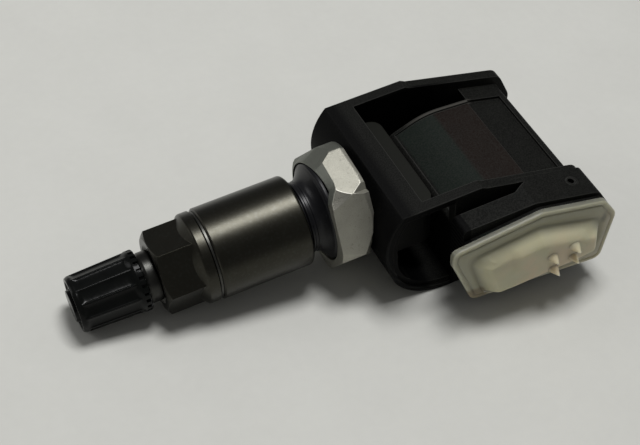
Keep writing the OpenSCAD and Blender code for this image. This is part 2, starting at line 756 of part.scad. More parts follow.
// Housing: round front wall, open recess with side rails, chamber and cover block
module housing() {
    inside_y = far_y - rail_t;
    inner_near = near_y + rail_t;
    beam_z = roof_z - 1.2;
    color([0.09, 0.09, 0.09])
        difference() {
            union() {
                slab(near_y, far_y)
                    body_outline();
                slab(lip_y, near_y + 1)
                    block_outline(0);
                slab(block_y, lip_y + 0.2)
                    intersection() {
                        block_outline(0.2);
                        cover_outline(0.35);
                    }
                translate([port_x, port_y, roof_z - rail_fall * (port_x - bend_x) - 1])
                    rotate([0, atan(rail_fall), 0])
                        cylinder(h = 1.1, r = port_r + 0.4, $fn = 48);
            }
            // trough behind the round front wall, open at the near end and under the open recess
            slab(near_y - 0.3, inside_y)
                intersection() {
                    trough_outline();
                    translate([0, -big / 2])
                        square([chamber_x0, big / 2 + beam_z]);
                }
            // step round the trough's open end
            slab(near_y - 0.3, near_y + mouth_step)
                intersection() {
                    trough_outline(mouth_step_w);
                    translate([0, -big / 2])
                        square([chamber_x0, big / 2 + beam_z]);
                }
            // recess between the rails, above the chamber and open at the rear
            slab(inner_near, inside_y + 0.02)
                difference() {
                    translate([beam_x1, -6])
                        square([big, big]);
                    translate([0, -big])
                        square([chamber_x0, big + beam_z - 3]);
                    chamber_outline();
                }
            // shallow seat of the label on the crown, and the pocket across the rear plate
            slab(inner_near - eps, chamber_far_y - crown_lip)
                top_cut(chamber_x0 + 1, step_x + eps, label_sunk);
            slab(inner_near - eps, chamber_far_y - crown_lip / 2)
                top_cut(step_x, chamber_x1 - plate_rim, plate_sunk);
            // slot for the swinging shank
            swing_slot();
            // gap between the chamber and the far wall
            block([chamber_x0 - 3, chamber_far_y, -floor_z + 4], [step_x, inside_y + 0.04, big]);
            // trench between the near rail and the cover block, running out in a point
            translate([0, 0, crown_z + 0.2])
                linear_extrude(big)
                    polygon([
                        [cover_x0 - 1, trench_y], [ledge_end_x - 1.4, trench_y],
                        [ledge_end_x + 1.2, near_y], [cover_x0 - 1, near_y]
                    ]);
            block([cover_x0 - 2, trench_y, -floor_z + 3.4], [chamber_x0 - 0.02, near_y, crown_z + 1]);
            // chamber for the electronics
            slab(near_y, chamber_far_y - wall_t)
                chamber_outline(wall_t);
            slab(trench_y - wall_t - 0.3, near_y + 0.2)
                intersection() {
                    chamber_outline(wall_t + 0.1);
                    mouth_outline(-0.1);
                }
            // mouth of the chamber behind the cover
            slab(block_y - 1, trench_y - wall_t)
                mouth_outline();
            // pressure port
            translate([port_x, port_y, -3])
                cylinder(h = roof_z + 5, r = port_r, $fn = 48);
        }
}

// The raised box with drafted sides, between two planes, shrunk by a wall
module drafted_box(top_y, foot_y, wall) {
    hull() {
        slab(foot_y - eps, foot_y)
            polygon(rounded(inset_corners(box_corners, wall)));
        slab(top_y, top_y + eps)
            polygon(rounded(inset_corners(box_corners, wall + box_draft)));
    }
}

// Cover: flange with a groove inside its edge, weld rib, hollow box and the tapered pegs on it
module end_cover() {
    y0 = block_y - cover_t;
    box_y = y0 - box_h;
    color([0.85, 0.87, 0.78])
        union() {
            difference() {
                union() {
                    slab(y0, block_y - eps)
                        cover_outline();
                    drafted_box(box_y, y0 + 0.1, 0);
                }
                drafted_box(box_y + box_wall, block_y + 1, box_wall);
                difference() {
                    slab(y0 - 1, y0 + groove_deep)
                        cover_outline(cover_band);
                    slab(y0 - 2, y0 + 1)
                        cover_outline(cover_band + groove_w);
                }
            }
            // weld rib inside the chamber's mouth
            difference() {
                slab(block_y - eps, block_y + 0.8)
                    mouth_outline(face_gap);
                slab(block_y - 1, block_y + 1)
                    mouth_outline(0.8);
            }
            for (i = [-1, 1], k = [-1, 1])
                translate([peg_mid[0], box_y + 0.1, peg_mid[1]] + [i * peg_pitch, 0, k * peg_row + i] / 2)
                    rotate([90, 0, 0])
                        cylinder(h = peg_len + 0.1, r1 = peg_r, r2 = peg_r - 0.25, $fn = 24);
        }
}

// Circuit board, notched where the cell's tabs pass
module circuit_board() {
    x0 = inside_x0 + board_gap;
    x1 = inside_x1 - board_gap;
    color([0.1, 0.35, 0.2])
        difference() {
            block([x0, board_y0, board_z], [x1, board_y1, board_top]);
            block([cell_x - strap_w / 2 - 0.1, board_y1 - 0.5, board_z - 1],
                [cell_x + strap_w / 2 + 0.1, board_y1 + 1, board_top + 1]);
        }
}

// Lithium cell with its crimped edge
module coin_cell() {
    r = cell_d / 2;
    color([0.75, 0.75, 0.75])
        translate([cell_x, cell_y, 0])
            rotate_extrude($fn = round_fn)
                polygon([
                    [0, cell_z0], [r - 0.4, cell_z0], [r, cell_z0 + 0.4], [r, cell_z1 - 0.9],
                    [r - 0.5, cell_z1 - 0.5], [r - 1.4, cell_z1 - 0.4], [r - 1.6, cell_z1], [0, cell_z1]
                ]);
}

// Strap on the cell's cap, with a leg up to the board
module cell_tab_top() {
    z = cell_z1 + eps;
    w = strap_w / 2;
    leg_y = cell_y - 0.4 * cell_d;
    color([0.8, 0.78, 0.7])
        union() {
            block([cell_x - w, leg_y, z], [cell_x + w, cell_y - 0.1 * cell_d, z + tab_t]);
            block([cell_x - w, leg_y, z], [cell_x + w, leg_y + tab_t, board_z - eps]);
        }
}

// Strap under the cell, with a leg up beside it to the board
module cell_tab_bottom() {
    z = cell_z0 - eps - tab_t;
    leg_y = board_y1 - tab_t;
    w = strap_w / 2;
    color([0.8, 0.78, 0.7])
        union() {
            block([cell_x - w, cell_y, z], [cell_x + w, leg_y + tab_t, z + tab_t]);
            block([cell_x - w, leg_y, z], [cell_x + w, leg_y + tab_t, board_z + board_t * 0.8]);
        }
}

// Pressure sensor package under the port
module pressure_sensor() {
    h = sensor_h;
    color([0.12, 0.12, 0.13])
        difference() {
            block([sensor_x - 1.9, sensor_y - 1.9, board_top + eps],
                [sensor_x + 1.9, sensor_y + 1.9, board_top + h]);
            translate([port_x, port_y, board_top + h - 0.6])
                cylinder(h = 2, r = port_r, $fn = 48);
        }
}

// Soft seal tube between the sensor and the housing's port
module port_seal() {
    color([0.55, 0.15, 0.12])
        translate([port_x, port_y, board_top + sensor_h + eps])
            difference() {
                cylinder(h = port_roof - board_top - sensor_h, r = 1.1, $fn = 64);
                translate([0, 0, -1])
                    cylinder(h = 10, r = port_r, $fn = 64);
            }
}

// Controller chip
module controller_chip() {
    color([0.1, 0.1, 0.11])
        block([cell_x + 1 - chip_w, cell_y + 1 - chip_w, board_top + eps],
            [cell_x + 1, cell_y + 1, board_top + 0.9]);
}

// Crystal can
module crystal() {
    color([0.8, 0.8, 0.8])
        block([cell_x + 2.2, cell_y - 3.6, board_top + eps], [cell_x + 5.4, cell_y - 1.1, board_top + 0.8]);
}

// Low frequency coil on its ferrite bobbin
module antenna_coil() {
    z = board_top + eps;
    x1 = cell_x + 3.5;
    x0 = x1 - coil_len;
    color([0.3, 0.2, 0.15])
        union() {
            block([x0, cell_y + 4, z], [x0 + 1.2, cell_y + 6.8, z + 2.4]);
            block([x1 - 1.2, cell_y + 4, z], [x1, cell_y + 6.8, z + 2.4]);
            block([x0 + 1.1, cell_y + 4.3, z + 0.3], [x1 - 1.1, cell_y + 6.5, z + 2.1]);
        }
}

// Sheet metal loop antenna that bridges the board
module antenna_loop() {
    z = board_top + eps;
    y0 = cell_y - 0.475 * cell_d;
    rise = 2.2;
    t = 0.4;
    x0 = inside_x0 + 0.6;
    x1 = cell_x + 2;
    color([0.8, 0.75, 0.6])
        union() {
            block([x0, y0, z], [x0 + t, y0 + 1.2, z + rise]);
            block([x1 - t, y0, z], [x1, y0 + 1.2, z + rise]);
            block([x0, y0, z + rise - t], [x1, y0 + 1.2, z + rise]);
        }
}

// Row of small capacitors beside the chip
module capacitors() {
    z = board_top + eps;
    color([0.6, 0.5, 0.35])
        for (i = [0 : 4])
            block([cell_x + 5 + (i % 2) * 2, cell_y + 0.5 + 0.9 * i, z],
                [cell_x + 6.4 + (i % 2) * 2, cell_y + 1.1 + 0.9 * i, z + 0.6]);
}

valve_cap();
cap_seal();
valve_stem();
core_body();
core_barrel_seal();
core_pin();
core_cup();
core_spring();
flange_nut();
nut_washer();
spacer_sleeve();
grommet();
hex_collar();
saddle_bar();
housing();
end_cover();
circuit_board();
coin_cell();
cell_tab_top();
cell_tab_bottom();
pressure_sensor();
port_seal();
controller_chip();
crystal();
antenna_coil();
antenna_loop();
capacitors();
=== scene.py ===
"""Tyre pressure sensor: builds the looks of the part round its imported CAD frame."""

import json
import math

import bpy
import numpy as np
from mathutils import Matrix, Vector


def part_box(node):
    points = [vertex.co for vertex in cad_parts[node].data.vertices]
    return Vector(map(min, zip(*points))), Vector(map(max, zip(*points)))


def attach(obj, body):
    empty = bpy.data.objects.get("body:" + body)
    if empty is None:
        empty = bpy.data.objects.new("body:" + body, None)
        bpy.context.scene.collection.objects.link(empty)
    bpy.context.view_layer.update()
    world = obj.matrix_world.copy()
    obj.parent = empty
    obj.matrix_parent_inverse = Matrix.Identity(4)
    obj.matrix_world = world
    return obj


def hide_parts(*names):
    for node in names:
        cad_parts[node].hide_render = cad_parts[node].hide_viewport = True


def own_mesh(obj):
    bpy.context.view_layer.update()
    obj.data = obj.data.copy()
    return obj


bl_info = {
    "name": "Tyre pressure sensor",
    "version": (1, 0, 0),
    "blender": (4, 5, 0),
    "location": "3D View > Sidebar > Sensor",
    "description": "Builds the surfaces, finishes and studio of a tyre pressure sensor",
    "category": "Add Mesh",
}

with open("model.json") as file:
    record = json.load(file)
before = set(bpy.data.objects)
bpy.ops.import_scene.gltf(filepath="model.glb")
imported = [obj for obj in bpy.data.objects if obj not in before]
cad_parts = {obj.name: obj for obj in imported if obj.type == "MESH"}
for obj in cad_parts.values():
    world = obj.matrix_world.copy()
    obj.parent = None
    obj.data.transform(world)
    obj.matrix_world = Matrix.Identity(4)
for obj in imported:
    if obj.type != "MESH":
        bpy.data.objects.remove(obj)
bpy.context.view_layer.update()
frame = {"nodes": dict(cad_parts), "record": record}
MM = 0.001
PIVOT_X = 18.2  # station of the housing's hinge, in millimetres


# Shader maths
class Value:
    """A shader socket on which Python arithmetic adds Math nodes."""

    def __init__(self, tree, socket):
        self.tree = tree
        self.socket = socket

    def math(self, operation, *terms, clamp=False):
        node = self.tree.nodes.new("ShaderNodeMath")
        node.operation = operation
        node.use_clamp = clamp
        for inlet, term in zip(node.inputs, terms):
            connect(self.tree, inlet, term)
        return Value(self.tree, node.outputs[0])

    def __add__(self, other):
        return self.math("ADD", self, other)

    __radd__ = __add__

    def __sub__(self, other):
        return self.math("SUBTRACT", self, other)

    def __rsub__(self, other):
        return self.math("SUBTRACT", other, self)

    def __mul__(self, other):
        return self.math("MULTIPLY", self, other)

    __rmul__ = __mul__

    def __truediv__(self, other):
        return self.math("DIVIDE", self, other)

    def __pow__(self, other):
        return self.math("POWER", self, other)

    def __neg__(self):
        return self.math("MULTIPLY", self, -1.0)

    def __abs__(self):
        return self.math("ABSOLUTE", self)

    def above(self, level, soft):
        """1 where the value passes the level, 0 below, over a ramp as wide as soft."""
        return self.math("ADD", (self - level) / soft, 0.5, clamp=True)

    def below(self, level, soft):
        """0 where the value passes the level, 1 below, over a ramp as wide as soft."""
        return (level - self).above(0.0, soft)

    def within(self, low, high, soft_low, soft_high):
        """1 between two levels, with a ramp at each of them."""
        return self.above(low, soft_low) * self.below(high, soft_high)

    def clamped(self):
        return self.math("ADD", self, 0.0, clamp=True)

    def most(self, other):
        return self.math("MAXIMUM", self, other)


def connect(tree, inlet, value):
    """Links a Value to a socket, or sets the socket to a plain number or colour."""
    if isinstance(value, Value):
        tree.links.new(value.socket, inlet)
    elif isinstance(value, (tuple, list)) and inlet.type == "RGBA" and len(value) == 3:
        inlet.default_value = (*value, 1.0)
    else:
        inlet.default_value = value


class Finish:
    """A material: one Principled shader and the nodes that feed it."""

    def __init__(self, name, **constants):
        self.material = bpy.data.materials.new(name)
        self.material.use_nodes = True
        self.tree = self.material.node_tree
        self.tree.nodes.clear()
        self.shader = self.tree.nodes.new("ShaderNodeBsdfPrincipled")
        out = self.tree.nodes.new("ShaderNodeOutputMaterial")
        self.tree.links.new(self.shader.outputs[0], out.inputs["Surface"])
        self.set(**constants)

    def set(self, **sockets):
        """Sets sockets of the shader: base_color becomes Base Color."""
        for key, value in sockets.items():
            connect(self.tree, self.shader.inputs[words(key)], value)
        return self

    def node(self, kind, settings=None, outlet=0, **sockets):
        """Adds a node, sets its properties first and then its sockets; i0 is the first socket."""
        node = self.tree.nodes.new("ShaderNode" + kind)
        for key, value in (settings or {}).items():
            setattr(node, key, value)
        for key, value in sockets.items():
            numbered = key[0] == "i" and key[1:].isdigit()
            connect(self.tree, node.inputs[int(key[1:]) if numbered else words(key)], value)
        return Value(self.tree, node.outputs[outlet])

    def axis(self, which):
        """One Object coordinate in millimetres."""
        split = self.tree.nodes.new("ShaderNodeSeparateXYZ")
        connect(self.tree, split.inputs[0], self.node("TexCoord", outlet=3))
        return Value(self.tree, split.outputs["XYZ".index(which)]) * (1.0 / MM)

    def noise(self, size_mm, detail=2.0, roughness=0.5, stretch=(1, 1, 1)):
        """Noise from 0 to 1 whose lumps measure about size_mm, and less along an axis by its stretch."""
        k = 1.0 / (size_mm * MM)
        where = self.node("Mapping", vector=self.node("TexCoord", outlet=3),
                          scale=tuple(k * s for s in stretch))
        return self.node("TexNoise", vector=where, scale=1.0, detail=detail, roughness=roughness)

    def mix(self, factor, a, b):
        """Mixes two colours."""
        node = self.tree.nodes.new("ShaderNodeMix")
        node.data_type = "RGBA"
        connect(self.tree, node.inputs[0], factor)
        connect(self.tree, node.inputs[6], a)
        connect(self.tree, node.inputs[7], b)
        return Value(self.tree, node.outputs[2])

    def bump(self, height, depth_mm, normal=None):
        """Raises the surface by a height of 0 to 1 times depth_mm, over another normal if one is given."""
        under = {} if normal is None else {"normal": normal}
        return self.node("Bump", height=height, distance=depth_mm * MM, strength=1.0, **under)

    def soft_edges(self, radius_mm):
        """A normal that rounds the mesh's sharp edges."""
        return self.node("Bevel", {"samples": 8}, radius=radius_mm * MM)


def words(key):
    """base_color to Base Color and coat_ior to Coat IOR, the names of sockets."""
    return " ".join("IOR" if word == "ior" else word.capitalize() for word in key.split("_"))


# Surfaces
def volume(points, faces):
    """Signed volume of a closed mesh: the sum over its triangles of a . (b x c) / 6."""
    total = 0.0
    for size in (3, 4):
        group = np.array([f for f in faces if len(f) == size])
        for i in range(1, size - 1) if len(group) else ():
            a, b, c = points[group[:, 0]], points[group[:, i]], points[group[:, i + 1]]
            total += np.einsum("ij,ij->", a, np.cross(b, c)) / 6
    return total


def mesh_object(name, points, faces, smooth=True, crease=30):
    """A mesh object from an array of points in millimetres and a list of faces, turned outwards."""
    points = np.asarray(points, float)
    if len(faces) > 1 and volume(points, faces) < 0:
        faces = [f[::-1] for f in faces]
    mesh = bpy.data.meshes.new(name)
    mesh.from_pydata((points * MM).tolist(), [], [list(f) for f in faces])
    mesh.validate()
    if smooth:
        mesh.shade_smooth()
        mesh.set_sharp_from_angle(angle=math.radians(crease))
    piece = bpy.data.objects.new(name, mesh)
    bpy.context.scene.collection.objects.link(piece)
    return piece


def grid_faces(rows, columns, wrap_rows=False):
    """Quads between neighbouring points of a grid of rows by columns, each row a closed ring."""
    i = np.arange(rows if wrap_rows else rows - 1)
    j = np.arange(columns)
    a, b = (m.ravel() for m in np.meshgrid(i, j, indexing="ij"))
    a1, b1 = (a + 1) % rows, (b + 1) % columns
    return np.stack([a * columns + b, a * columns + b1, a1 * columns + b1, a1 * columns + b], 1)


def surface(name, points, wrap_rows=False, close=(), crease=30, **levels):
    """A piece from a grid of points, rows by columns by 3, each row a closed ring.

    close may hold "first" and "last", which fills those rows with a fan about their middle.
    Each further argument is an array over the grid, kept as a point attribute of that name.
    """
    rows, columns = points.shape[:2]
    faces = grid_faces(rows, columns, wrap_rows)
    verts = points.reshape(-1, 3)
    extra, fans = [], []
    for end in close:
        row = 0 if end == "first" else rows - 1
        hub = len(verts) + len(extra)
        extra.append(points[row].mean(0))
        ring = row * columns + np.arange(columns)
        fan = np.stack([np.full(columns, hub), np.roll(ring, -1), ring], 1)
        fans.extend((fan if end == "first" else fan[:, ::-1]).tolist())
    if extra:
        verts = np.vstack([verts, extra])
    piece = mesh_object(name, verts, faces.tolist() + fans, crease=crease)
    for key, level in levels.items():
        values = np.zeros(len(verts))
        values[:rows * columns] = np.broadcast_to(level, (rows, columns)).ravel()
        piece.data.attributes.new(key, "FLOAT", "POINT").data.foreach_set("value", values)
    return piece


def rounded_profile(corners, steps=5):
    """Stations and radii along an outline whose corners (x, r, rounding) become circular arcs."""
    pts = np.array([c[:2] for c in corners], float)
    out = []
    for i, c in enumerate(corners):
        k = c[2] if len(c) > 2 else 0.0
        if k <= 0 or i in (0, len(corners) - 1):
            out.append(pts[i])
            continue
        u, v = pts[i - 1] - pts[i], pts[i + 1] - pts[i]
        lu, lv = np.linalg.norm(u), np.linalg.norm(v)
        u, v = u / lu, v / lv
        half = math.acos(np.clip(u @ v, -1, 1)) / 2
        reach = min(k / math.tan(half), 0.49 * lu, 0.49 * lv)
        k = reach * math.tan(half)
        mid = pts[i] + (u + v) / np.linalg.norm(u + v) * k / math.sin(half)
        a, b = pts[i] + u * reach - mid, pts[i] + v * reach - mid
        t = np.linspace(0, 1, steps + 1)[:, None]
        w = math.acos(np.clip(a @ b / (k * k), -1, 1))
        arc = (np.sin((1 - t) * w) * a + np.sin(t * w) * b) / max(math.sin(w), 1e-9)
        out.extend(mid + arc)
    return np.array(out)


def about_axis(x, r, angle):
    """Points (x, -r sin a, r cos a): the angle a runs from +Z towards -Y."""
    return np.stack(np.broadcast_arrays(x, -r * np.sin(angle), r * np.cos(angle)), 2)


def turned(name, profile, count, shape, closed=True, crease=30):
    """A profile of stations and radii turned about the X axis.

    The point at angle a is (x, -r sin a, r cos a), and shape changes r: shape(x, r, a) -> r.
    An open profile starts and ends near the axis, and both of its ends are filled.
    """
    angle = np.linspace(0, 2 * np.pi, count, endpoint=False)[None, :]
    x = profile[:, :1] + 0 * angle
    r = shape(x, profile[:, 1:2] + 0 * angle, angle + 0 * x)
    return surface(name, about_axis(x, r, angle), wrap_rows=closed, crease=crease,
                   close=() if closed else ("first", "last"))


def stations(x0, x1, r0, r1, count):
    """Evenly spaced profile points on a straight line, for a shape that varies along it."""
    t = np.linspace(0, 1, count)[:, None]
    return (1 - t) * np.array([[x0, r0]]) + t * np.array([[x1, r1]])


def smooth_step(value, start, end):
    """3 t^2 - 2 t^3 as the value runs from start to end, and 0 or 1 outside."""
    t = np.clip((value - start) / (end - start), 0, 1)
    return t * t * (3 - 2 * t)


def loft(keys, rounding, steps=4):
    """Closed rings through key points (corners, angles, 2), with each corner rounded.

    A corner P with points E and F on its two sides becomes (1-s)^2 E + 2s(1-s) P + s^2 F,
    and one more ring just past E and F keeps the sides flat.
    """
    rings = []
    for i, width in enumerate(rounding):
        p, a, b = keys[i], keys[i - 1], keys[(i + 1) % len(keys)]
        la = np.linalg.norm(a - p, axis=1, keepdims=True)
        lb = np.linalg.norm(b - p, axis=1, keepdims=True)
        to_e = (a - p) / np.maximum(la, 1e-9) * np.minimum(width, 0.42 * la)
        to_f = (b - p) / np.maximum(lb, 1e-9) * np.minimum(width, 0.42 * lb)
        rings.append(p + to_e * 1.15)
        for t in np.linspace(0, 1, steps + 1):
            rings.append(p + (1 - t) ** 2 * to_e + t ** 2 * to_f)
        rings.append(p + to_f * 1.15)
    return np.array(rings)


def rounded_outline(corners, inset=0.0, steps=9):
    """A closed outline of (x, z, radius) corners, moved inwards, with a curved stretch at each corner.

    A corner Q between E and F becomes Q + (1-t)^2 (E - Q) + t^2 (F - Q).
    """
    c = np.array(corners, float)
    side = np.roll(c[:, :2], -1, axis=0) - c[:, :2]
    side /= np.linalg.norm(side, axis=1, keepdims=True)
    inward = np.stack([side[:, 1], -side[:, 0]], 1)
    before, after = np.roll(side, 1, axis=0), side
    a = c[:, :2] + np.roll(inward, 1, axis=0) * inset
    b = c[:, :2] + inward * inset
    cross = before[:, 0] * after[:, 1] - before[:, 1] * after[:, 0]
    gap = b - a
    k = (gap[:, 0] * after[:, 1] - gap[:, 1] * after[:, 0]) / cross
    q = a + before * k[:, None]
    length = np.linalg.norm(np.roll(q, -1, axis=0) - q, axis=1)
    room = 0.45 * np.minimum(length, np.roll(length, 1))
    half = np.arccos(np.clip(np.sum(-before * after, axis=1), -1, 1)) / 2
    reach = np.minimum(np.maximum(0.4, c[:, 2] - inset) / np.tan(half), room)
    t = np.linspace(0, 1, steps + 1)[None, :, None]
    arcs = (q[:, None] - before[:, None] * reach[:, None, None] * (1 - t) ** 2
            + after[:, None] * reach[:, None, None] * t ** 2)
    return arcs.reshape(-1, 2)


def ray_radius(outline, centre, angle):
    """Distance from a centre to a closed outline along each angle, by the crossing of ray and side."""
    p = outline - centre
    d = np.roll(p, -1, axis=0) - p
    c, s = np.cos(angle)[:, None], np.sin(angle)[:, None]
    cross = c * d[:, 1] - s * d[:, 0]
    cross = np.where(np.abs(cross) < 1e-9, 1e-9, cross)
    reach = (p[:, 0] * d[:, 1] - p[:, 1] * d[:, 0]) / cross
    along = (p[:, 0] * s - p[:, 1] * c) / cross
    hit = (along > -1e-6) & (along < 1 + 1e-6) & (reach > 0)
    return np.where(hit, reach, 0).max(1)


def hexagon(angle, across, turn_deg):
    """Radius at an angle of a hexagon with a corner at turn_deg from +Z towards -Y."""
    sector = np.mod(angle - math.radians(turn_deg), np.pi / 3) - np.pi / 6
    return across / 2 / np.cos(sector)


# Settings
class SensorMetal(bpy.types.PropertyGroup):
    """Sizes and colours of the metal valve."""

    olive: bpy.props.FloatVectorProperty(
        name="Anodising", description="Colour of the dark anodised metal", subtype="COLOR",
        default=(0.034, 0.0325, 0.0252), size=3, min=0, max=1)
    silver: bpy.props.FloatVectorProperty(
        name="Blasted metal", description="Colour of the hexagonal collar", subtype="COLOR",
        default=(0.365, 0.357, 0.308), size=3, min=0, max=1)
    # The front bevel's darker colour is painted shade.
    bevel: bpy.props.FloatVectorProperty(
        name="Bevel", description="Colour of the collar's darker front bevel", subtype="COLOR",
        default=(0.165, 0.172, 0.15), size=3, min=0, max=1)
    grain: bpy.props.FloatProperty(
        name="Grain", description="Size of the blasted grain in millimetres", default=0.16, min=0.05, max=1)


class SensorPlastic(bpy.types.PropertyGroup):
    """Colours of the mouldings."""

    black: bpy.props.FloatVectorProperty(
        name="Housing", description="Colour of the glass-filled housing", subtype="COLOR",
        default=(0.0046, 0.0048, 0.0043), size=3, min=0, max=1)
    milky: bpy.props.FloatVectorProperty(
        name="Cover", description="Colour of the translucent cover", subtype="COLOR",
        default=(0.42, 0.42, 0.34), size=3, min=0, max=1)


class SensorStudio(bpy.types.PropertyGroup):
    """Floor, lamps and camera."""

    paper: bpy.props.FloatVectorProperty(
        name="Floor", description="Colour of the paper floor", subtype="COLOR",
        default=(0.635, 0.635, 0.60), size=3, min=0, max=1)
    lens: bpy.props.FloatProperty(
        name="Lens", description="Focal length on a 36 mm wide sensor", default=75.0, min=20, max=200)


def node_material(node, finish):
    """Gives a CAD node one finish on all its slots."""
    mesh = frame["nodes"][node].data
    if not mesh.materials:
        mesh.materials.append(finish.material)
    for i in range(len(mesh.materials)):
        mesh.materials[i] = finish.material


def body_of(node):
    """Name of the body that a CAD node rides on."""
    return next(body for body, nodes in frame["record"]["behaviour"]["bodies"].items() if node in nodes)


def stand_in(piece, node, finish):
    """A finished piece that rides on the body of the CAD node that it stands for."""
    piece.data.materials.append(finish.material)
    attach(piece, body_of(node))
    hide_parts(node)
    return piece


# Finishes
def olive_anodised():
    """Satin dark anodised aluminium with faint lathe rings round the X axis."""
    f = Finish("olive anodised", metallic=1.0, coat_weight=0.15, coat_roughness=0.3, coat_ior=1.5)
    tone = f.noise(3.0, 3.0)
    rings = f.noise(1.0, 2.0, stretch=(9.0, 0.15, 0.15))
    fleck = f.noise(0.5, 3.0, 0.65).above(0.6, 0.2)
    c = tuple(bpy.context.scene.sensor_metal.olive)
    base = f.mix(tone, [v * 0.85 for v in c], [v * 1.15 for v in c])
    fine = f.noise(0.09, 1.0)
    f.set(base_color=f.mix(fleck * 0.25, base, (0.07, 0.07, 0.065)),
          roughness=0.27 + 0.07 * rings + 0.06 * fine,
          normal=f.bump(rings * 0.6 + fine * 0.4, 0.006, normal=f.soft_edges(0.09)))
    return f


def olive_thread():
    """Bare grey metal of the stem, brighter than the anodised nut."""
    f = Finish("stem metal", metallic=1.0)
    tone = f.noise(1.2, 3.0)
    f.set(base_color=f.mix(tone, (0.030, 0.030, 0.028), (0.060, 0.060, 0.056)), roughness=0.30 + 0.1 * tone,
          normal=f.bump(f.noise(0.15, 2.0), 0.008))
    return f


def dark_washer():
    """Thin dark washer whose turned edge shines a little."""
    f = Finish("washer steel", metallic=1.0)
    tone = f.noise(0.6, 2.0)
    f.set(base_color=f.mix(tone, (0.045, 0.045, 0.041), (0.085, 0.085, 0.078)), roughness=0.3 + 0.1 * tone,
          normal=f.soft_edges(0.05))
    return f


def black_rubber():
    """Shiny black rubber with a bluish sheen and a few pale specks of dust."""
    f = Finish("black rubber", specular_ior_level=0.26)
    tone = f.noise(1.4, 3.0)
    dust = f.noise(0.32, 1.0).above(0.79, 0.03)
    base = f.mix(tone, (0.0035, 0.0036, 0.0046), (0.008, 0.008, 0.0095))
    f.set(base_color=f.mix(dust * 0.5, base, (0.16, 0.17, 0.18)), roughness=0.27 + 0.14 * tone,
          normal=f.bump(f.noise(0.25, 2.0), 0.008))
    return f


def blasted_metal():
    """Bead-blasted metal: a fine grain in colour, roughness and height.

    Painted shade darkens the front bevel and the corner chamfer, the far side is darker, and a painted
    glint runs along the edges by one corner.
    """
    s = bpy.context.scene.sensor_metal
    f = Finish("blasted metal", metallic=0.85, specular_ior_level=0.5)
    grain = f.noise(s.grain, 3.0, 0.7)
    cloud = f.noise(2.2, 3.0)
    spot = f.noise(0.5, 2.0, 0.6).above(0.66, 0.1)
    c = tuple(s.silver)
    base = f.mix((grain * 0.7 + cloud * 0.5).clamped(), [v * 0.62 for v in c], [v * 1.25 for v in c])
    base = f.mix(spot * 0.35, base, [v * 0.35 for v in c])
    # band: painted shade on the front bevel, and darker rows over the far side
    band = f.node("Attribute", {"attribute_name": "band"}, outlet=2)
    base = f.mix(band, base, f.mix(grain, [v * 0.85 for v in s.bevel], [v * 1.15 for v in s.bevel]))
    shade = f.node("Attribute", {"attribute_name": "shade"}, outlet=2)
    base = f.mix(shade * 0.75, base, [v * 0.3 for v in c])
    glint = f.node("Attribute", {"attribute_name": "glint"}, outlet=2)
    base = f.mix(glint * 0.55, base, (0.95, 0.93, 0.85))
    f.set(base_color=base, roughness=0.42 + 0.2 * grain - 0.04 * band,
          normal=f.bump(grain, 0.045, normal=f.soft_edges(0.1)))
    return f


def gloss_black():
    """Glossy black moulding of the dust cap."""
    f = Finish("gloss black", specular_ior_level=0.12)
    tone = f.noise(2.5, 2.0)
    f.set(base_color=f.mix(tone, (0.002, 0.0024, 0.0022), (0.005, 0.0055, 0.0052)),
          roughness=0.14 + 0.16 * f.noise(0.8, 3.0), normal=f.bump(f.noise(0.5, 2.0), 0.012))
    return f


def edge_mask(f, radius_mm, gain):
    """1 along sharp edges: how far the rounded normal turns from the true one, 1 - n . m."""
    rounded = f.soft_edges(radius_mm)
    true = f.node("NewGeometry", outlet=1)
    dot = f.node("VectorMath", {"operation": "DOT_PRODUCT"}, outlet=1, i0=rounded, i1=true)
    return ((1.0 - dot) * gain).clamped()


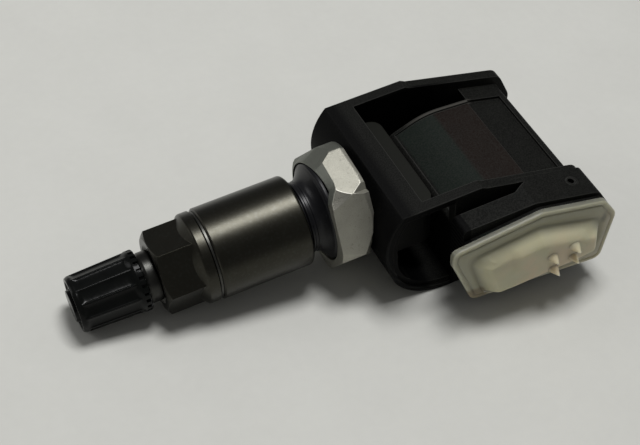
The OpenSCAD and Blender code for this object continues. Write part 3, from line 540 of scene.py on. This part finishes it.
def glass_filled_black():
    """Satin black moulding with glass-fibre flecks and painted highlights along its edges.

    The crown's label seat is a little green in front and a little red behind, and the lip beyond it bears
    a painted highlight. Painted shade makes the round front wall, the hollow behind it, the trough and the
    beam's outer edge nearly black, and rings run round the near end of that wall.
    """
    f = Finish("glass filled black", specular_ior_level=0.05, coat_roughness=0.36, coat_ior=1.45)
    c = tuple(bpy.context.scene.sensor_plastic.black)
    x, y, z = f.axis("X"), f.axis("Y"), f.axis("Z")
    cloud = f.noise(3.5, 4.0)
    fleck = f.noise(0.2, 2.0, 0.6).above(0.5, 0.16)
    base = f.mix(cloud, [v * 0.6 for v in c], [v * 1.35 for v in c])

    seat_front, seat_rear, tint_change = 20.6, 34.0, 27.3
    on_seat = x.within(seat_front, seat_rear, 0.5, 0.15) * z.within(0.4, 3.4, 0.8, 0.2) * y.below(8.2, 0.15)
    seat = f.mix(x.above(tint_change, 0.7), (0.0095, 0.0142, 0.0115), (0.0112, 0.0068, 0.0054))
    base = f.mix(on_seat * (0.6 + 0.4 * cloud), base, seat)

    # Painted highlight along the lip at the crown's far edge
    lip_y, lip_half = 8.45, 0.45
    far_lip_highlight = (1.0 - abs(y - lip_y) / lip_half).clamped() * z.within(1.8, 3.6, 0.4, 0.3)
    base = f.mix(far_lip_highlight * x.within(23.0, 34.6, 5.0, 0.6), base, (0.070, 0.066, 0.058))

    wall_r, hollow_r, ring_pitch = 10.75, 10.6, 7.5
    off_axis = ((x - PIVOT_X) ** 2.0 + z * z) ** 0.5
    front_wall = off_axis.above(wall_r, 0.1) * x.below(15.5, 1.5) * z.below(7.25, 0.5)
    hollow = off_axis.below(hollow_r, 0.2) * x.below(19.1, 0.1) * z.below(7.2, 0.2)
    hollow = hollow.most(x.within(19.0, 19.6, 0.1, 0.2) * z.below(0.4, 0.4))
    outer_edge = x.below(12.0, 1.4) * z.above(7.0, 0.2) * 0.9
    trough = y.within(8.9, 12.0, 0.1, 0.2) * z.below(6.9, 0.6) * x.below(31.0, 5.0)
    # Painted shade: the front wall, the hollow, the trough and the beam's outer edge are made nearly black
    unlit = front_wall.most(hollow).most(trough).most(outer_edge)
    base = f.mix(unlit * 0.92, base, (0.0006, 0.0006, 0.0008))
    phase = off_axis * ring_pitch
    rings = phase.math("SINE", phase) * (-y).above(13.3, 0.1) * x.below(19.0, 1.0)

    port_x, port_y, port_r = 39.2, -15.2, 0.85
    from_port = ((x - port_x) ** 2.0 + (y - port_y) ** 2.0) ** 0.5
    port = (1.0 - abs(from_port - port_r) / 0.16).clamped() * z.above(0.0, 0.5)
    # Painted highlight along the sharp edges, with a pale ring round the port and pale glass flecks
    edge = edge_mask(f, 0.34, 6.0)
    lit = 1.0 - unlit * 0.8
    pale = (edge * (0.3 + 0.6 * cloud) + port * 0.6 + fleck * 0.30) * lit
    base = f.mix(pale.clamped(), base, (0.034, 0.034, 0.031))
    grain = f.noise(0.22, 3.0, 0.6)
    f.set(base_color=base, roughness=0.46 + 0.12 * cloud + 0.06 * grain,
          coat_weight=(0.015 + 0.25 * edge) * lit,
          normal=f.bump(grain + rings * 1.6, 0.02, normal=f.soft_edges(0.24)))
    return f


def bar_metal():
    """Dark olive bar whose underside is painted nearly black as shade."""
    f = Finish("bar metal", metallic=0.6, specular_ior_level=0.3)
    tone = f.noise(0.4, 3.0)
    # Painted shade: nearly black below z 3.6 mm
    low = f.axis("Z").below(3.6, 0.6)
    base = f.mix(tone, (0.0045, 0.0048, 0.0034), (0.008, 0.0084, 0.006))
    f.set(base_color=f.mix(low * 0.95, base, (0.0006, 0.0006, 0.0006)), roughness=0.5 + 0.15 * tone,
          normal=f.bump(tone, 0.02, normal=f.soft_edges(0.2)))
    return f


def milky_cover():
    """Milky translucent moulding: paler over the box, as painted light glowing through the thicker plastic,
    yellow and pink there, and with painted shade where the box meets the flange.

    The flange is greyer, with a painted highlight along its outer edge, painted shade on its side wall, a
    brown lower corner that is painted shade, and a darker window.
    """
    f = Finish("milky cover", specular_ior_level=0.4, ior=1.5, subsurface_weight=0.85,
               subsurface_radius=(1.0, 0.95, 0.75), subsurface_scale=0.0022)
    c = tuple(bpy.context.scene.sensor_plastic.milky)
    x, y, z = f.axis("X"), f.axis("Y"), f.axis("Z")
    cloud = f.noise(5.0, 3.0)
    base = f.mix(cloud, [v * 0.52 for v in c], [v * 0.64 for v in c])
    # Painted light: the box is paler, as if light glows through the thicker plastic
    proud = (-y).above(20.5, 1.9)
    base = f.mix(proud * (0.75 + 0.25 * cloud), base, [v * k for v, k in zip(c, (1.3, 1.24, 1.05))])
    blush = f.noise(4.5, 2.0).above(0.5, 0.25) * proud * x.above(24.0, 6.0) * (-z).above(1.5, 4.0)
    base = f.mix(blush * 0.6, base, [v * k for v, k in zip(c, (1.5, 1.16, 1.02))])
    # Painted shade where the box meets the flange
    valley = f.node("Attribute", {"attribute_name": "valley"}, outlet=2)
    base = f.mix(valley * 0.55, base, [v * k for v, k in zip(c, (0.55, 0.52, 0.4))])
    # Painted highlight along the flange's outer edge
    rim = f.node("Attribute", {"attribute_name": "rim"}, outlet=2)
    base = f.mix(rim * 0.35, base, c)
    # Painted shade on the flange's side wall
    side = f.node("Attribute", {"attribute_name": "side"}, outlet=2)
    base = f.mix(side * 0.8, base, [v * 0.36 for v in c])
    on_flange = y.above(-20.6, 0.3)
    # Painted shade: the flange's lower corner is brown as if in shadow
    corner = (-z).above(7.6, 0.8) * x.below(22.0, 1.5) * on_flange
    base = f.mix(corner * 0.75, base, (0.16, 0.12, 0.07))
    window_x, window_z = 42.9, -2.7
    window = (1.0 - abs(x - window_x) / 0.8).clamped() * (1.0 - abs(z - window_z) / 1.5).clamped() * on_flange
    base = f.mix((window * 1.6).clamped() * 0.6, base, (0.10, 0.10, 0.08))
    f.set(base_color=base, roughness=0.33 + 0.16 * f.noise(1.2, 3.0),
          normal=f.bump(f.noise(0.5, 2.0), 0.015))
    return f


def plain(name, colour, roughness, metallic=0.0, size=0.8):
    """A small part's finish: its colour with fine mottling."""
    f = Finish(name, metallic=metallic)
    tone = f.noise(size, 3.0)
    f.set(base_color=f.mix(tone, [v * 0.8 for v in colour], [min(1, v * 1.2) for v in colour]),
          roughness=roughness + 0.1 * tone, normal=f.bump(tone, 0.01))
    return f


# Pieces
def cap_piece():
    """Dust cap: a taper whose flutes are arcs across their width, with a notched band and a front boss.

    The radius falls by depth x sqrt(1 - u^2) across a flute, where u runs from -1 to 1 over its width.
    """
    lo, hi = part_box("valve_cap")
    x0, x1 = lo[0] / MM + 0.45, hi[0] / MM
    front, rear, bore, flutes = 4.55, 4.95, 3.92, 12
    band = x1 - 1.35

    def shape(x, r, angle):
        outside = r > bore + 0.15
        phase = np.mod(angle * flutes / (2 * np.pi) + 0.5, 1) - 0.5
        across = np.clip(1 - (phase / 0.44) ** 2, 0, 1)
        run = smooth_step(x, x0 + 0.55, x0 + 1.5) * (1 - smooth_step(x, band - 0.7, band - 0.1))
        r = r - 0.36 * np.sqrt(across + 1e-9) * run * outside
        tooth = np.mod(angle * 2 * flutes / (2 * np.pi), 1) - 0.5
        notch = np.clip((0.24 - np.abs(tooth)) / 0.05, 0, 1) * smooth_step(x, band + 0.42, band + 0.5)
        return r - 0.42 * notch * outside

    flank = stations(x0 + 0.5, band, front, rear - 0.1, 34)
    ring = stations(band + 0.16, x1 - 0.2, rear, rear, 9)
    nose = rounded_profile([(x0 - 0.45, 0.05), (x0 - 0.45, 2.55, 0.12), (x0 + 0.22, 2.62, 0.08),
                            (x0 + 0.22, 3.72, 0.12), (x0, 3.86, 0.08), (x0, 4.3, 0.1),
                            (x0 + 0.16, 4.4, 0.05), (x0 + 0.5, front)])
    mouth = rounded_profile([(x1 - 0.2, rear), (x1, rear - 0.16, 0.06), (x1, bore + 0.1, 0.04),
                             (x1 - 0.1, bore), (x0 + 0.95, bore), (x0 + 0.95, 0.05)])
    profile = np.vstack([nose, flank[1:], ring, mouth[1:]])
    return turned("dust_cap", profile, 576, shape, closed=False, crease=40)


def thread(x, r, angle, x0, x1, pitch, depth):
    """A radius less a thread: depth x (0.5 - 0.5 cos)^0.7 of the station over the pitch less the turn."""
    wave = 0.5 - 0.5 * np.cos(2 * np.pi * (x / pitch - angle / (2 * np.pi)))
    ends = smooth_step(x, x0, x0 + pitch) * (1 - smooth_step(x, x1 - pitch, x1))
    return r - depth * ends * wave ** 0.7


def stem_piece():
    """Valve stem: both threads as helical waves on its radius, with the shoulder and the shank."""
    lo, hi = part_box("valve_stem")
    x0, x1 = lo[0] / MM, hi[0] / MM
    mouth, body, bore, air = 3.85, 4.1, 2.65, 1.25
    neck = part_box("valve_cap")[1][0] / MM + 0.5
    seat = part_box("grommet")[1][0] / MM + 0.01

    def shape(x, r, angle):
        front = np.abs(r - mouth) < 0.02
        back = np.abs(r - body) < 0.02
        r = np.where(front, thread(x, r, angle, x0 + 0.4, neck - 0.7, 0.8, 0.24), r)
        return np.where(back, thread(x, r, angle, neck + 1.2, seat - 3.2, 0.75, 0.22), r)

    outline = np.vstack([
        [[x0, bore], [x0, mouth - 0.3], [x0 + 0.3, mouth]],
        stations(x0 + 0.35, neck - 0.4, mouth, mouth, 130),
        stations(neck, seat - 3.0, body, body, 300),
        [[seat, body], [seat, 6.0], [seat + 1.8, 6.0], [seat + 1.8, 3.2], [x1 - 0.4, 3.2], [x1, 2.8],
         [x1, air], [x0 + 19.2, air], [x0 + 18.6, 2.0], [x0 + 7.2, 2.0], [x0 + 5.6, bore]]])
    return turned("valve_stem_threaded", outline, 72, shape, crease=50)


def grommet_piece():
    """Grommet: a neck, a small bead at the sleeve, a hollow funnel and the wide lip in the collar's mouth.

    The funnel's radius is a + (b - a) u^2 along its length, and the lip's face leans with the angle.
    """
    lo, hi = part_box("grommet")
    x0, x1 = lo[0] / MM, hi[0] / MM
    inner, neck, reach = 4.12, 5.75, 8.15
    u = np.linspace(0, 1, 22)[:, None]
    funnel = np.hstack([-0.5 + 1.9 * u, 5.9 + 1.8 * u ** 2.0])
    outline = np.vstack([
        rounded_profile([(x0, inner), (x0, neck - 0.35, 0.1), (x0 + 0.12, neck - 0.1, 0.08),
                         (-1.5, neck - 0.1, 0.12), (-1.42, neck + 0.22, 0.1), (-1.1, neck + 0.22, 0.1),
                         (-1.0, neck + 0.02, 0.1), (-0.6, neck + 0.06), (-0.5, 5.9)])[:-1],
        funnel,
        rounded_profile([(1.5, 7.78), (1.62, reach - 0.12, 0.14), (1.95, reach, 0.12),
                         (2.35, reach - 0.03, 0.1), (2.5, reach - 0.5, 0.16), (2.8, reach - 0.45, 0.12),
                         (2.95, reach, 0.1), (x1, reach), (x1, inner)])])

    def shape(x, r, angle):
        lean = 0.10 * np.cos(angle - 0.3) * smooth_step(r, 6.3, 7.4)
        wave = 0.03 * np.sin(5 * angle + 1.2) * smooth_step(r, 6.1, 6.8)
        return np.minimum(r + lean - 0.1 * smooth_step(r, 6.3, 7.4) + wave * (r < reach - 0.3), reach)

    return turned("grommet_moulded", outline, 200, shape, crease=35)


def by_angle(degrees, *pairs):
    """Straight-line interpolation of (angle, value) pairs round the full turn."""
    at, value = zip(*pairs)
    return np.interp(degrees, at, value, period=360)


def collar_piece():
    """Collar: for each angle a closed section between the grommet's mouth and the housing's saddle.

    Its flats are r = across / 2 / cos(a), capped where the far corner is worn. The front bevel, the
    corner chamfer and the rear bevel end at stations that follow the angle, as the forging's do.
    """
    lo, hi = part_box("hex_collar")
    rear = hi[0] / MM
    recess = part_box("grommet")[1][0] / MM + 0.01
    mouth, seat, shank, across, turn = 8.2, 6.05, 3.25, 18.6, 36.0
    degrees = np.arange(-180, 180, 0.75)
    angle = np.radians(degrees)

    lip = by_angle(degrees, (-75, 1.45), (-50, 1.6), (-21, 1.95), (0, 2.3), (14, 2.5), (24, 2.55), (29, 2.1),
                   (37, 1.55), (50, 1.42), (120, 1.42))
    front = by_angle(degrees, (-150, 1.6), (-75, 2.1), (-40, 4.2), (-20, 5.4), (-14, 5.4), (-9.6, 4.35),
                     (-6, 3.6), (10, 3.55), (20, 3.5), (26, 3.25), (32, 2.45), (38, 1.8), (46, 1.5),
                     (120, 1.5))
    chamfer = by_angle(degrees, (-30, 9.95), (26, 9.95), (36, 10.12), (46, 10.4), (150, 10.4), (-150, 10.2))
    back = by_angle(degrees, (-160, 7.5), (-144, 6.7), (-128, 7.5), (-100, 7.5), (-84, 6.7), (-68, 7.5),
                    (-14, 7.3), (20, 7.45), (29, 7.2), (36, 5.3), (39, 7.0), (60, 7.5), (76, 7.5), (89, 6.1),
                    (96, 5.2), (103, 6.1), (116, 7.5), (140, 7.5), (156, 6.7), (170, 7.5))
    worn = by_angle(degrees, (-90, 10.6), (-60, 10.3), (-40, 9.88), (-8, 9.93), (4, 11.0), (170, 11.0))

    flat = np.minimum(hexagon(angle, across, turn), worn)
    edge_x, corner_r, slope_x = 5.1, across / math.sqrt(3), 3.24
    slope = (corner_r - chamfer) / (edge_x - slope_x)
    r_front = np.minimum(flat, chamfer + slope * (front - slope_x))
    x_corner = np.clip(slope_x + (flat - chamfer) / slope, front + 0.05, edge_x)
    r_corner = np.minimum(flat, chamfer + slope * (x_corner - slope_x))
    x_corner = np.maximum(x_corner, front + 0.05)
    x_back = np.maximum(back, x_corner + 0.12)
    bearing = 11.12
    belly_x, belly_z, belly_r = 18.31, -2.37, 11.32

    def saddle(radius):
        """Station of the rear face: flat, hollowed for the round wall and the belly that swings to it."""
        z = radius * np.cos(angle)
        wall = PIVOT_X - np.sqrt(bearing ** 2 - np.minimum(np.abs(z), bearing) ** 2)
        belly = belly_x - np.sqrt(belly_r ** 2 - np.clip(z - belly_z, -belly_r, belly_r) ** 2)
        return np.minimum(rear, np.minimum(wall, belly))

    r_tail = np.minimum(flat - 0.05, flat - 0.62 * (rear - x_back) + 0.1)
    r_tail = np.clip(r_tail, 8.9, 10.2)
    tail = saddle(r_tail)
    x_back = np.minimum(x_back, tail - 0.1)
    keys = [(lip, mouth), (lip, mouth + 0.14), (front, r_front), (x_corner, r_corner), (x_back, flat),
            (tail, r_tail), *((saddle(r), r) for r in (8.0, 7.2, 6.4, 5.5, 4.4, shank)),
            (recess + 1.8, shank), (recess + 1.8, seat), (recess, seat), (recess, mouth)]
    keys = np.array([np.stack(np.broadcast_arrays(x + 0 * angle, r + 0 * angle), 1) for x, r in keys])
    rounding = (0.05, 0.1, 0.14, 0.12, 0.14, 0.14, 0.2, 0.1, 0.1, 0.1, 0.1, 0.1, 0.05, 0.05, 0.05, 0.05)
    rings = loft(keys, rounding)
    per_corner = len(rings) // len(keys)
    row = np.arange(len(rings))[:, None]
    # Painted shade on the front bevel rows, and darker far-side rows, kept as the band attribute
    top = smooth_step(degrees, -95, -80) * (1 - smooth_step(degrees, 34, 44))
    far_dark = (1 - smooth_step(degrees, -15.5, -13.5)) * smooth_step(degrees, -95, -80)
    zone = np.where(row < 2.55 * per_corner, top, np.where(row < 6 * per_corner, far_dark, 0))
    middle = per_corner // 2
    # A painted glint along the edges by the corner at 36 degrees
    on_edge = (np.abs(row - 3 * per_corner - middle) < 2) | (np.abs(row - 4 * per_corner - middle) < 2)
    glint = on_edge * smooth_step(degrees, 24, 28) * (1 - smooth_step(degrees, 36.2, 37.2))
    # Painted shade on the corner chamfer near that corner
    cut = (row > 2.6 * per_corner) & (row < 3.3 * per_corner)
    shade = cut * smooth_step(degrees, 24, 27) * (1 - smooth_step(degrees, 44, 50))
    return surface("hexagonal_collar", about_axis(rings[..., 0], rings[..., 1], angle[None, :]),
                   wrap_rows=True, crease=24, band=zone, glint=glint, shade=shade)


COVER_CORNERS = ((15.2, 3.0, 2.6), (31.01, 4.49, 2.0), (42.8, 1.14, 1.6), (45.4, -3.0, 2.5),
                 (43.7, -13.4, 1.8), (19.1, -10.2, 1.8), (15.2, 0.3, 1.5))
BOX_CORNERS = ((18.2, 0.3, 1.8), (30.5, 1.5, 3.0), (42.0, -2.3, 2.2), (42.3, -9.3, 2.4), (21.2, -9.9, 2.6))


def cover_piece():
    """Cover: rings about its middle, from the flange's back over its edge, groove, band and soft box.

    A ring's radius is that of the flange's or the box's outline less an inset. The box rises by
    sin(pi t / 2)^1.5 over its side, is lower on the left of its top, and bears one small rib.
    """
    lo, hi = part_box("end_cover")
    back, face = -19.16, -20.15
    top = lo[1] / MM + 1.6
    centre = np.array([30.5, -4.2])
    angle = np.linspace(0, 2 * np.pi, 480, endpoint=False)

    def flange(inset):
        return ray_radius(rounded_outline(COVER_CORNERS, inset), centre, angle)

    def box(inset):
        return ray_radius(rounded_outline(BOX_CORNERS, inset), centre, angle)

    foot, shoulder = box(-0.1), box(2.3)
    side = [(foot + (shoulder - foot) * k, face + (top - face) * math.sin(k * math.pi / 2) ** 1.5)
            for k in np.linspace(0, 1, 13)[1:]]
    crown = [(shoulder * (1 - k), top - 0.05 * math.sin(k * math.pi / 2))
             for k in np.linspace(0, 1, 15)[1:-1]]
    rows = [(box(3.2) * 0.02, top + 0.9), (box(3.2) * 0.5, top + 0.9), (box(3.2), top + 0.92),
            (box(1.0), back + 0.05), (box(0.95), back), (flange(3.2), back), (flange(3.2), back + 0.8),
            (flange(2.4), back + 0.8), (flange(2.4), back), (flange(0.05), back), (flange(0), back - 0.06),
            (flange(0), face + 0.3), (flange(0.03), face + 0.16), (flange(0.12), face + 0.05),
            (flange(0.28), face), (flange(0.62), face + 0.01), (flange(0.72), face + 0.06),
            (flange(0.78), face + 0.12), (flange(0.96), face + 0.12), (flange(1.02), face + 0.02),
            (flange(1.1), face - 0.02), (0.55 * flange(1.2) + 0.45 * foot, face - 0.16),
            (0.2 * flange(1.2) + 0.8 * foot, face - 0.08), (foot, face), *side, *crown]
    r = np.array([np.minimum(row, flange(0)) for row, _ in rows])
    y = np.array([np.full(len(angle), level) for _, level in rows])
    x, z = centre[0] + r * np.cos(angle), centre[1] + r * np.sin(angle)

    raised = smooth_step(-y, -face + 0.35, -top - 0.2) * (np.arange(len(rows))[:, None] > 20)
    left = (1 - smooth_step(x, 24.6, 26.4)) * smooth_step(z, -4.6, -1.8)
    along = np.clip(((x - 20.3) * 1.3 - (z - 1.4) * 2.0) / (1.3 ** 2 + 2.0 ** 2), 0, 1)
    rib = np.exp(-((x - 20.3 - 1.3 * along) ** 2 + (z - 1.4 + 2.0 * along) ** 2) / 0.09)
    dip = smooth_step(x, 37.5, 39.5) * smooth_step(z, -5.0, -2.5)
    y = y + raised * (0.5 * left + 0.35 * dip) - 0.3 * rib * raised
    row = np.arange(len(rows))[:, None] + 0 * x
    # rim, side and valley: rows of painted highlight on the flange's outer edge, painted shade on its side
    # wall, and painted shade where the box meets the flange
    return surface("end_cover_moulded", np.stack([x, y, z], 2), close=("first", "last"), crease=50,
                   rim=((row > 12) & (row < 15)) * 1.0, side=((row > 8) & (row < 12)) * 1.0,
                   valley=np.exp(-((row - 22.5) / 1.7) ** 2))


def pegs_piece():
    """The pegs on the cover: cones whose radius is a + b (1 - t)^0.9, flattened and leaning down."""
    root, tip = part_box("end_cover")[0][1] / MM + 1.75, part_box("end_cover")[0][1] / MM
    t = np.linspace(0, 1, 12)[:, None]
    angle = np.linspace(0, 2 * np.pi, 20, endpoint=False)[None, :]
    verts, faces = [], []
    for x0, z0, wide in ((31.9, -3.9, 1.0), (32.4, -7.1, 0.95), (35.9, -3.4, 1.05), (35.9, -6.0, 0.9)):
        r = 0.07 + 0.95 * (1 - t) ** 0.9 + 0.5 * np.clip(0.18 - t, 0, 1)
        ring = np.stack([x0 + 0.25 * t + wide * r * np.cos(angle), root + (tip - root) * t + 0 * angle,
                         z0 - 0.35 * t + 0.72 * r * np.sin(angle)], 2)
        rows, columns = ring.shape[:2]
        start = sum(len(v) for v in verts)
        verts += [ring.reshape(-1, 3), ring[[0, -1]].mean(1)]
        hub = start + rows * columns
        first, last = start + np.arange(columns), start + (rows - 1) * columns + np.arange(columns)
        faces += (grid_faces(rows, columns) + start).tolist()
        faces += np.stack([np.full(columns, hub), np.roll(first, -1), first], 1).tolist()
        faces += np.stack([last, np.roll(last, -1), np.full(columns, hub + 1)], 1).tolist()
    return mesh_object("cover_pegs", np.vstack(verts), faces, crease=60)


def spring_piece():
    """Core spring: a round wire whose middle is x = x0 + (x1 - x0) t on a turn of 2 pi n t round the pin."""
    lo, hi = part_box("core_spring")
    wire, turns = 0.13, 8
    r = hi[2] / MM - wire
    t = np.linspace(0, 1, 24 * turns)[:, None]
    turn = 2 * np.pi * turns * t
    outward = np.stack([0 * turn, -np.sin(turn), np.cos(turn)], 2)
    x0, x1 = lo[0] / MM + wire, hi[0] / MM - wire
    middle = r * outward + np.stack([x0 + (x1 - x0) * t, 0 * t, 0 * t], 2)
    along = np.stack([0 * turn + (x1 - x0) / (2 * np.pi * turns * r), -np.cos(turn), -np.sin(turn)], 2)
    beside = np.cross(along / np.linalg.norm(along, axis=2, keepdims=True), outward)
    round_wire = np.linspace(0, 2 * np.pi, 10, endpoint=False)[None, :, None]
    points = middle + wire * (np.cos(round_wire) * outward + np.sin(round_wire) * beside)
    return surface("core_spring_coil", points, close=("first", "last"), crease=60)


class SENSOR_OT_valve(bpy.types.Operator):
    """Metal pieces of the valve: stem, nut, washer, sleeve and saddle bar"""

    bl_idname = "sensor.valve"
    bl_label = "Valve"

    def execute(self, context):
        olive = olive_anodised()
        for node in ("flange_nut", "spacer_sleeve"):
            node_material(node, olive)
        node_material("saddle_bar", bar_metal())
        node_material("nut_washer", dark_washer())
        stand_in(stem_piece(), "valve_stem", olive_thread())
        return {"FINISHED"}


class SENSOR_OT_collar(bpy.types.Operator):
    """Hexagonal collar and rubber grommet"""

    bl_idname = "sensor.collar"
    bl_label = "Collar and grommet"

    def execute(self, context):
        stand_in(collar_piece(), "hex_collar", blasted_metal())
        rubber = black_rubber()
        stand_in(grommet_piece(), "grommet", rubber)
        node_material("cap_seal", rubber)
        node_material("core_cup", rubber)
        return {"FINISHED"}


class SENSOR_OT_cap(bpy.types.Operator):
    """Dust cap"""

    bl_idname = "sensor.cap"
    bl_label = "Dust cap"

    def execute(self, context):
        stand_in(cap_piece(), "valve_cap", gloss_black())
        return {"FINISHED"}


class SENSOR_OT_housing(bpy.types.Operator):
    """Housing and end cover"""

    bl_idname = "sensor.housing"
    bl_label = "Housing and cover"

    def execute(self, context):
        node_material("housing", glass_filled_black())
        milky = milky_cover()
        stand_in(cover_piece(), "end_cover", milky)
        stand_in(pegs_piece(), "end_cover", milky)
        return {"FINISHED"}


class SENSOR_OT_inside(bpy.types.Operator):
    """Valve core and electronics"""

    bl_idname = "sensor.inside"
    bl_label = "Inside"

    def execute(self, context):
        looks = {
            "turned brass": ((0.72, 0.52, 0.24), 0.3, 1.0, ("core_body", "core_pin")),
            "seal red": ((0.35, 0.05, 0.04), 0.5, 0.0, ("core_barrel_seal", "port_seal")),
            "board green": ((0.02, 0.11, 0.05), 0.35, 0.0, ("circuit_board",)),
            "cell steel": ((0.66, 0.66, 0.64), 0.28, 1.0, ("coin_cell", "crystal")),
            "nickel strip": ((0.62, 0.60, 0.54), 0.32, 1.0,
                             ("cell_tab_top", "cell_tab_bottom", "antenna_loop")),
            "chip black": ((0.02, 0.02, 0.022), 0.5, 0.0, ("pressure_sensor", "controller_chip")),
            "coil brown": ((0.10, 0.05, 0.03), 0.5, 0.0, ("antenna_coil",)),
            "ceramic tan": ((0.42, 0.32, 0.19), 0.5, 0.0, ("capacitors",)),
        }
        for name, (colour, roughness, metallic, nodes) in looks.items():
            finish = plain(name, colour, roughness, metallic)
            for node in nodes:
                node_material(node, finish)
        spring = stand_in(spring_piece(), "core_spring", plain("spring wire", (0.6, 0.6, 0.58), 0.3, 1.0))
        joints = frame["record"]["behaviour"]["joints"]
        press = next(joint for joint in joints if joint["name"] == "pin_press")
        seat = press["deforming_nodes"][0]["fixed_end_x_m"]
        1 - press["range_m"][1] / (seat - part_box("core_spring")[0][0])
        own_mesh(spring)
        return {"FINISHED"}


class SENSOR_OT_studio(bpy.types.Operator):
    """Paper floor, soft lamps and the camera"""

    bl_idname = "sensor.studio"
    bl_label = "Studio"

    def execute(self, context):
        s = context.scene.sensor_studio
        self.floor(s)
        self.lamps(context)
        self.camera(context, s)
        return {"FINISHED"}

    def floor(self, s):
        f = Finish("paper", specular_ior_level=0.2, roughness=0.8)
        c = tuple(s.paper)
        cloud = f.noise(14.0, 3.0)
        fine = f.noise(1.6, 4.0)
        tone = (cloud * 0.6 + fine * 0.4).clamped()
        f.set(base_color=f.mix(tone, [v * 0.93 for v in c], [v * 1.05 for v in c]), normal=f.bump(fine, 0.03))
        n = Vector(FLOOR_UP)
        side = Vector((0, 1, 0))
        along = side.cross(n)
        at = n * FLOOR_LEVEL
        size = 700
        corners = [at + along * (size * a) + side * (size * b)
                   for a, b in ((-1, -1), (1, -1), (1, 1), (-1, 1))]
        floor = mesh_object("floor", np.array([tuple(c) for c in corners]), [(0, 1, 2, 3)], smooth=False)
        floor.data.materials.append(f.material)

    def lamps(self, context):
        world = bpy.data.worlds.new("studio")
        context.scene.world = world
        world.use_nodes = True
        back = world.node_tree.nodes["Background"]
        back.inputs[0].default_value = (1.0, 1.0, 0.98, 1)
        back.inputs[1].default_value = 0.15
        for name, spot, size, power in (
            ("overhead", (135, 55, 590), 200, 2.8),
            ("window", (-420, 260, 330), 260, 0.5),
        ):
            light = bpy.data.lights.new(name, "AREA")
            light.size = size * MM
            light.energy = power
            lamp = bpy.data.objects.new(name, light)
            lamp.location = Vector(spot) * MM
            aim = Vector((0.002, 0, 0)) - lamp.location
            lamp.rotation_euler = aim.to_track_quat("-Z", "Y").to_euler()
            context.scene.collection.objects.link(lamp)
        context.scene.view_settings.view_transform = "Standard"

    def camera(self, context, s):
        data = bpy.data.cameras.new("camera")
        data.lens = s.lens
        data.sensor_width = 36
        data.clip_start = 0.01
        eye = bpy.data.objects.new("camera", data)
        right = Vector(CAMERA_RIGHT).normalized()
        down = Vector(CAMERA_DOWN)
        down = (down - right * down.dot(right)).normalized()
        look = right.cross(down)
        rows = [[*row] for row in zip(right, -down, -look)]
        eye.matrix_world = Matrix.Translation(Vector(CAMERA_SPOT) * MM) @ Matrix(rows).to_4x4()
        context.scene.collection.objects.link(eye)
        context.scene.camera = eye


CAMERA_SPOT = (-53.6, -127.9, 160.1)
CAMERA_RIGHT = (0.899, -0.436, -0.034)
CAMERA_DOWN = (-0.352, -0.674, -0.649)
FLOOR_TILT = math.radians(9.03)
FLOOR_UP = (math.sin(FLOOR_TILT), 0.0, math.cos(FLOOR_TILT))
FLOOR_LEVEL = -10.62


class SENSOR_PT_panel(bpy.types.Panel):
    """Buttons for each group of pieces"""

    bl_label = "Tyre pressure sensor"
    bl_idname = "SENSOR_PT_panel"
    bl_space_type = "VIEW_3D"
    bl_region_type = "UI"
    bl_category = "Sensor"

    def draw(self, context):
        for operator in OPERATORS:
            self.layout.operator(operator.bl_idname)


OPERATORS = (SENSOR_OT_valve, SENSOR_OT_collar, SENSOR_OT_cap, SENSOR_OT_housing, SENSOR_OT_inside,
             SENSOR_OT_studio)
GROUPS = {"sensor_metal": SensorMetal, "sensor_plastic": SensorPlastic, "sensor_studio": SensorStudio}


def register():
    for group in GROUPS.values():
        bpy.utils.register_class(group)
    for name, group in GROUPS.items():
        setattr(bpy.types.Scene, name, bpy.props.PointerProperty(type=group))
    for item in OPERATORS + (SENSOR_PT_panel,):
        bpy.utils.register_class(item)


def unregister():
    for item in reversed(OPERATORS + (SENSOR_PT_panel,)):
        bpy.utils.unregister_class(item)
    for name in GROUPS:
        delattr(bpy.types.Scene, name)
    for group in GROUPS.values():
        bpy.utils.unregister_class(group)


def main():
    register()
    for operator in OPERATORS:
        group, name = operator.bl_idname.split(".")
        getattr(getattr(bpy.ops, group), name)()


if __name__ == "__main__":
    main()
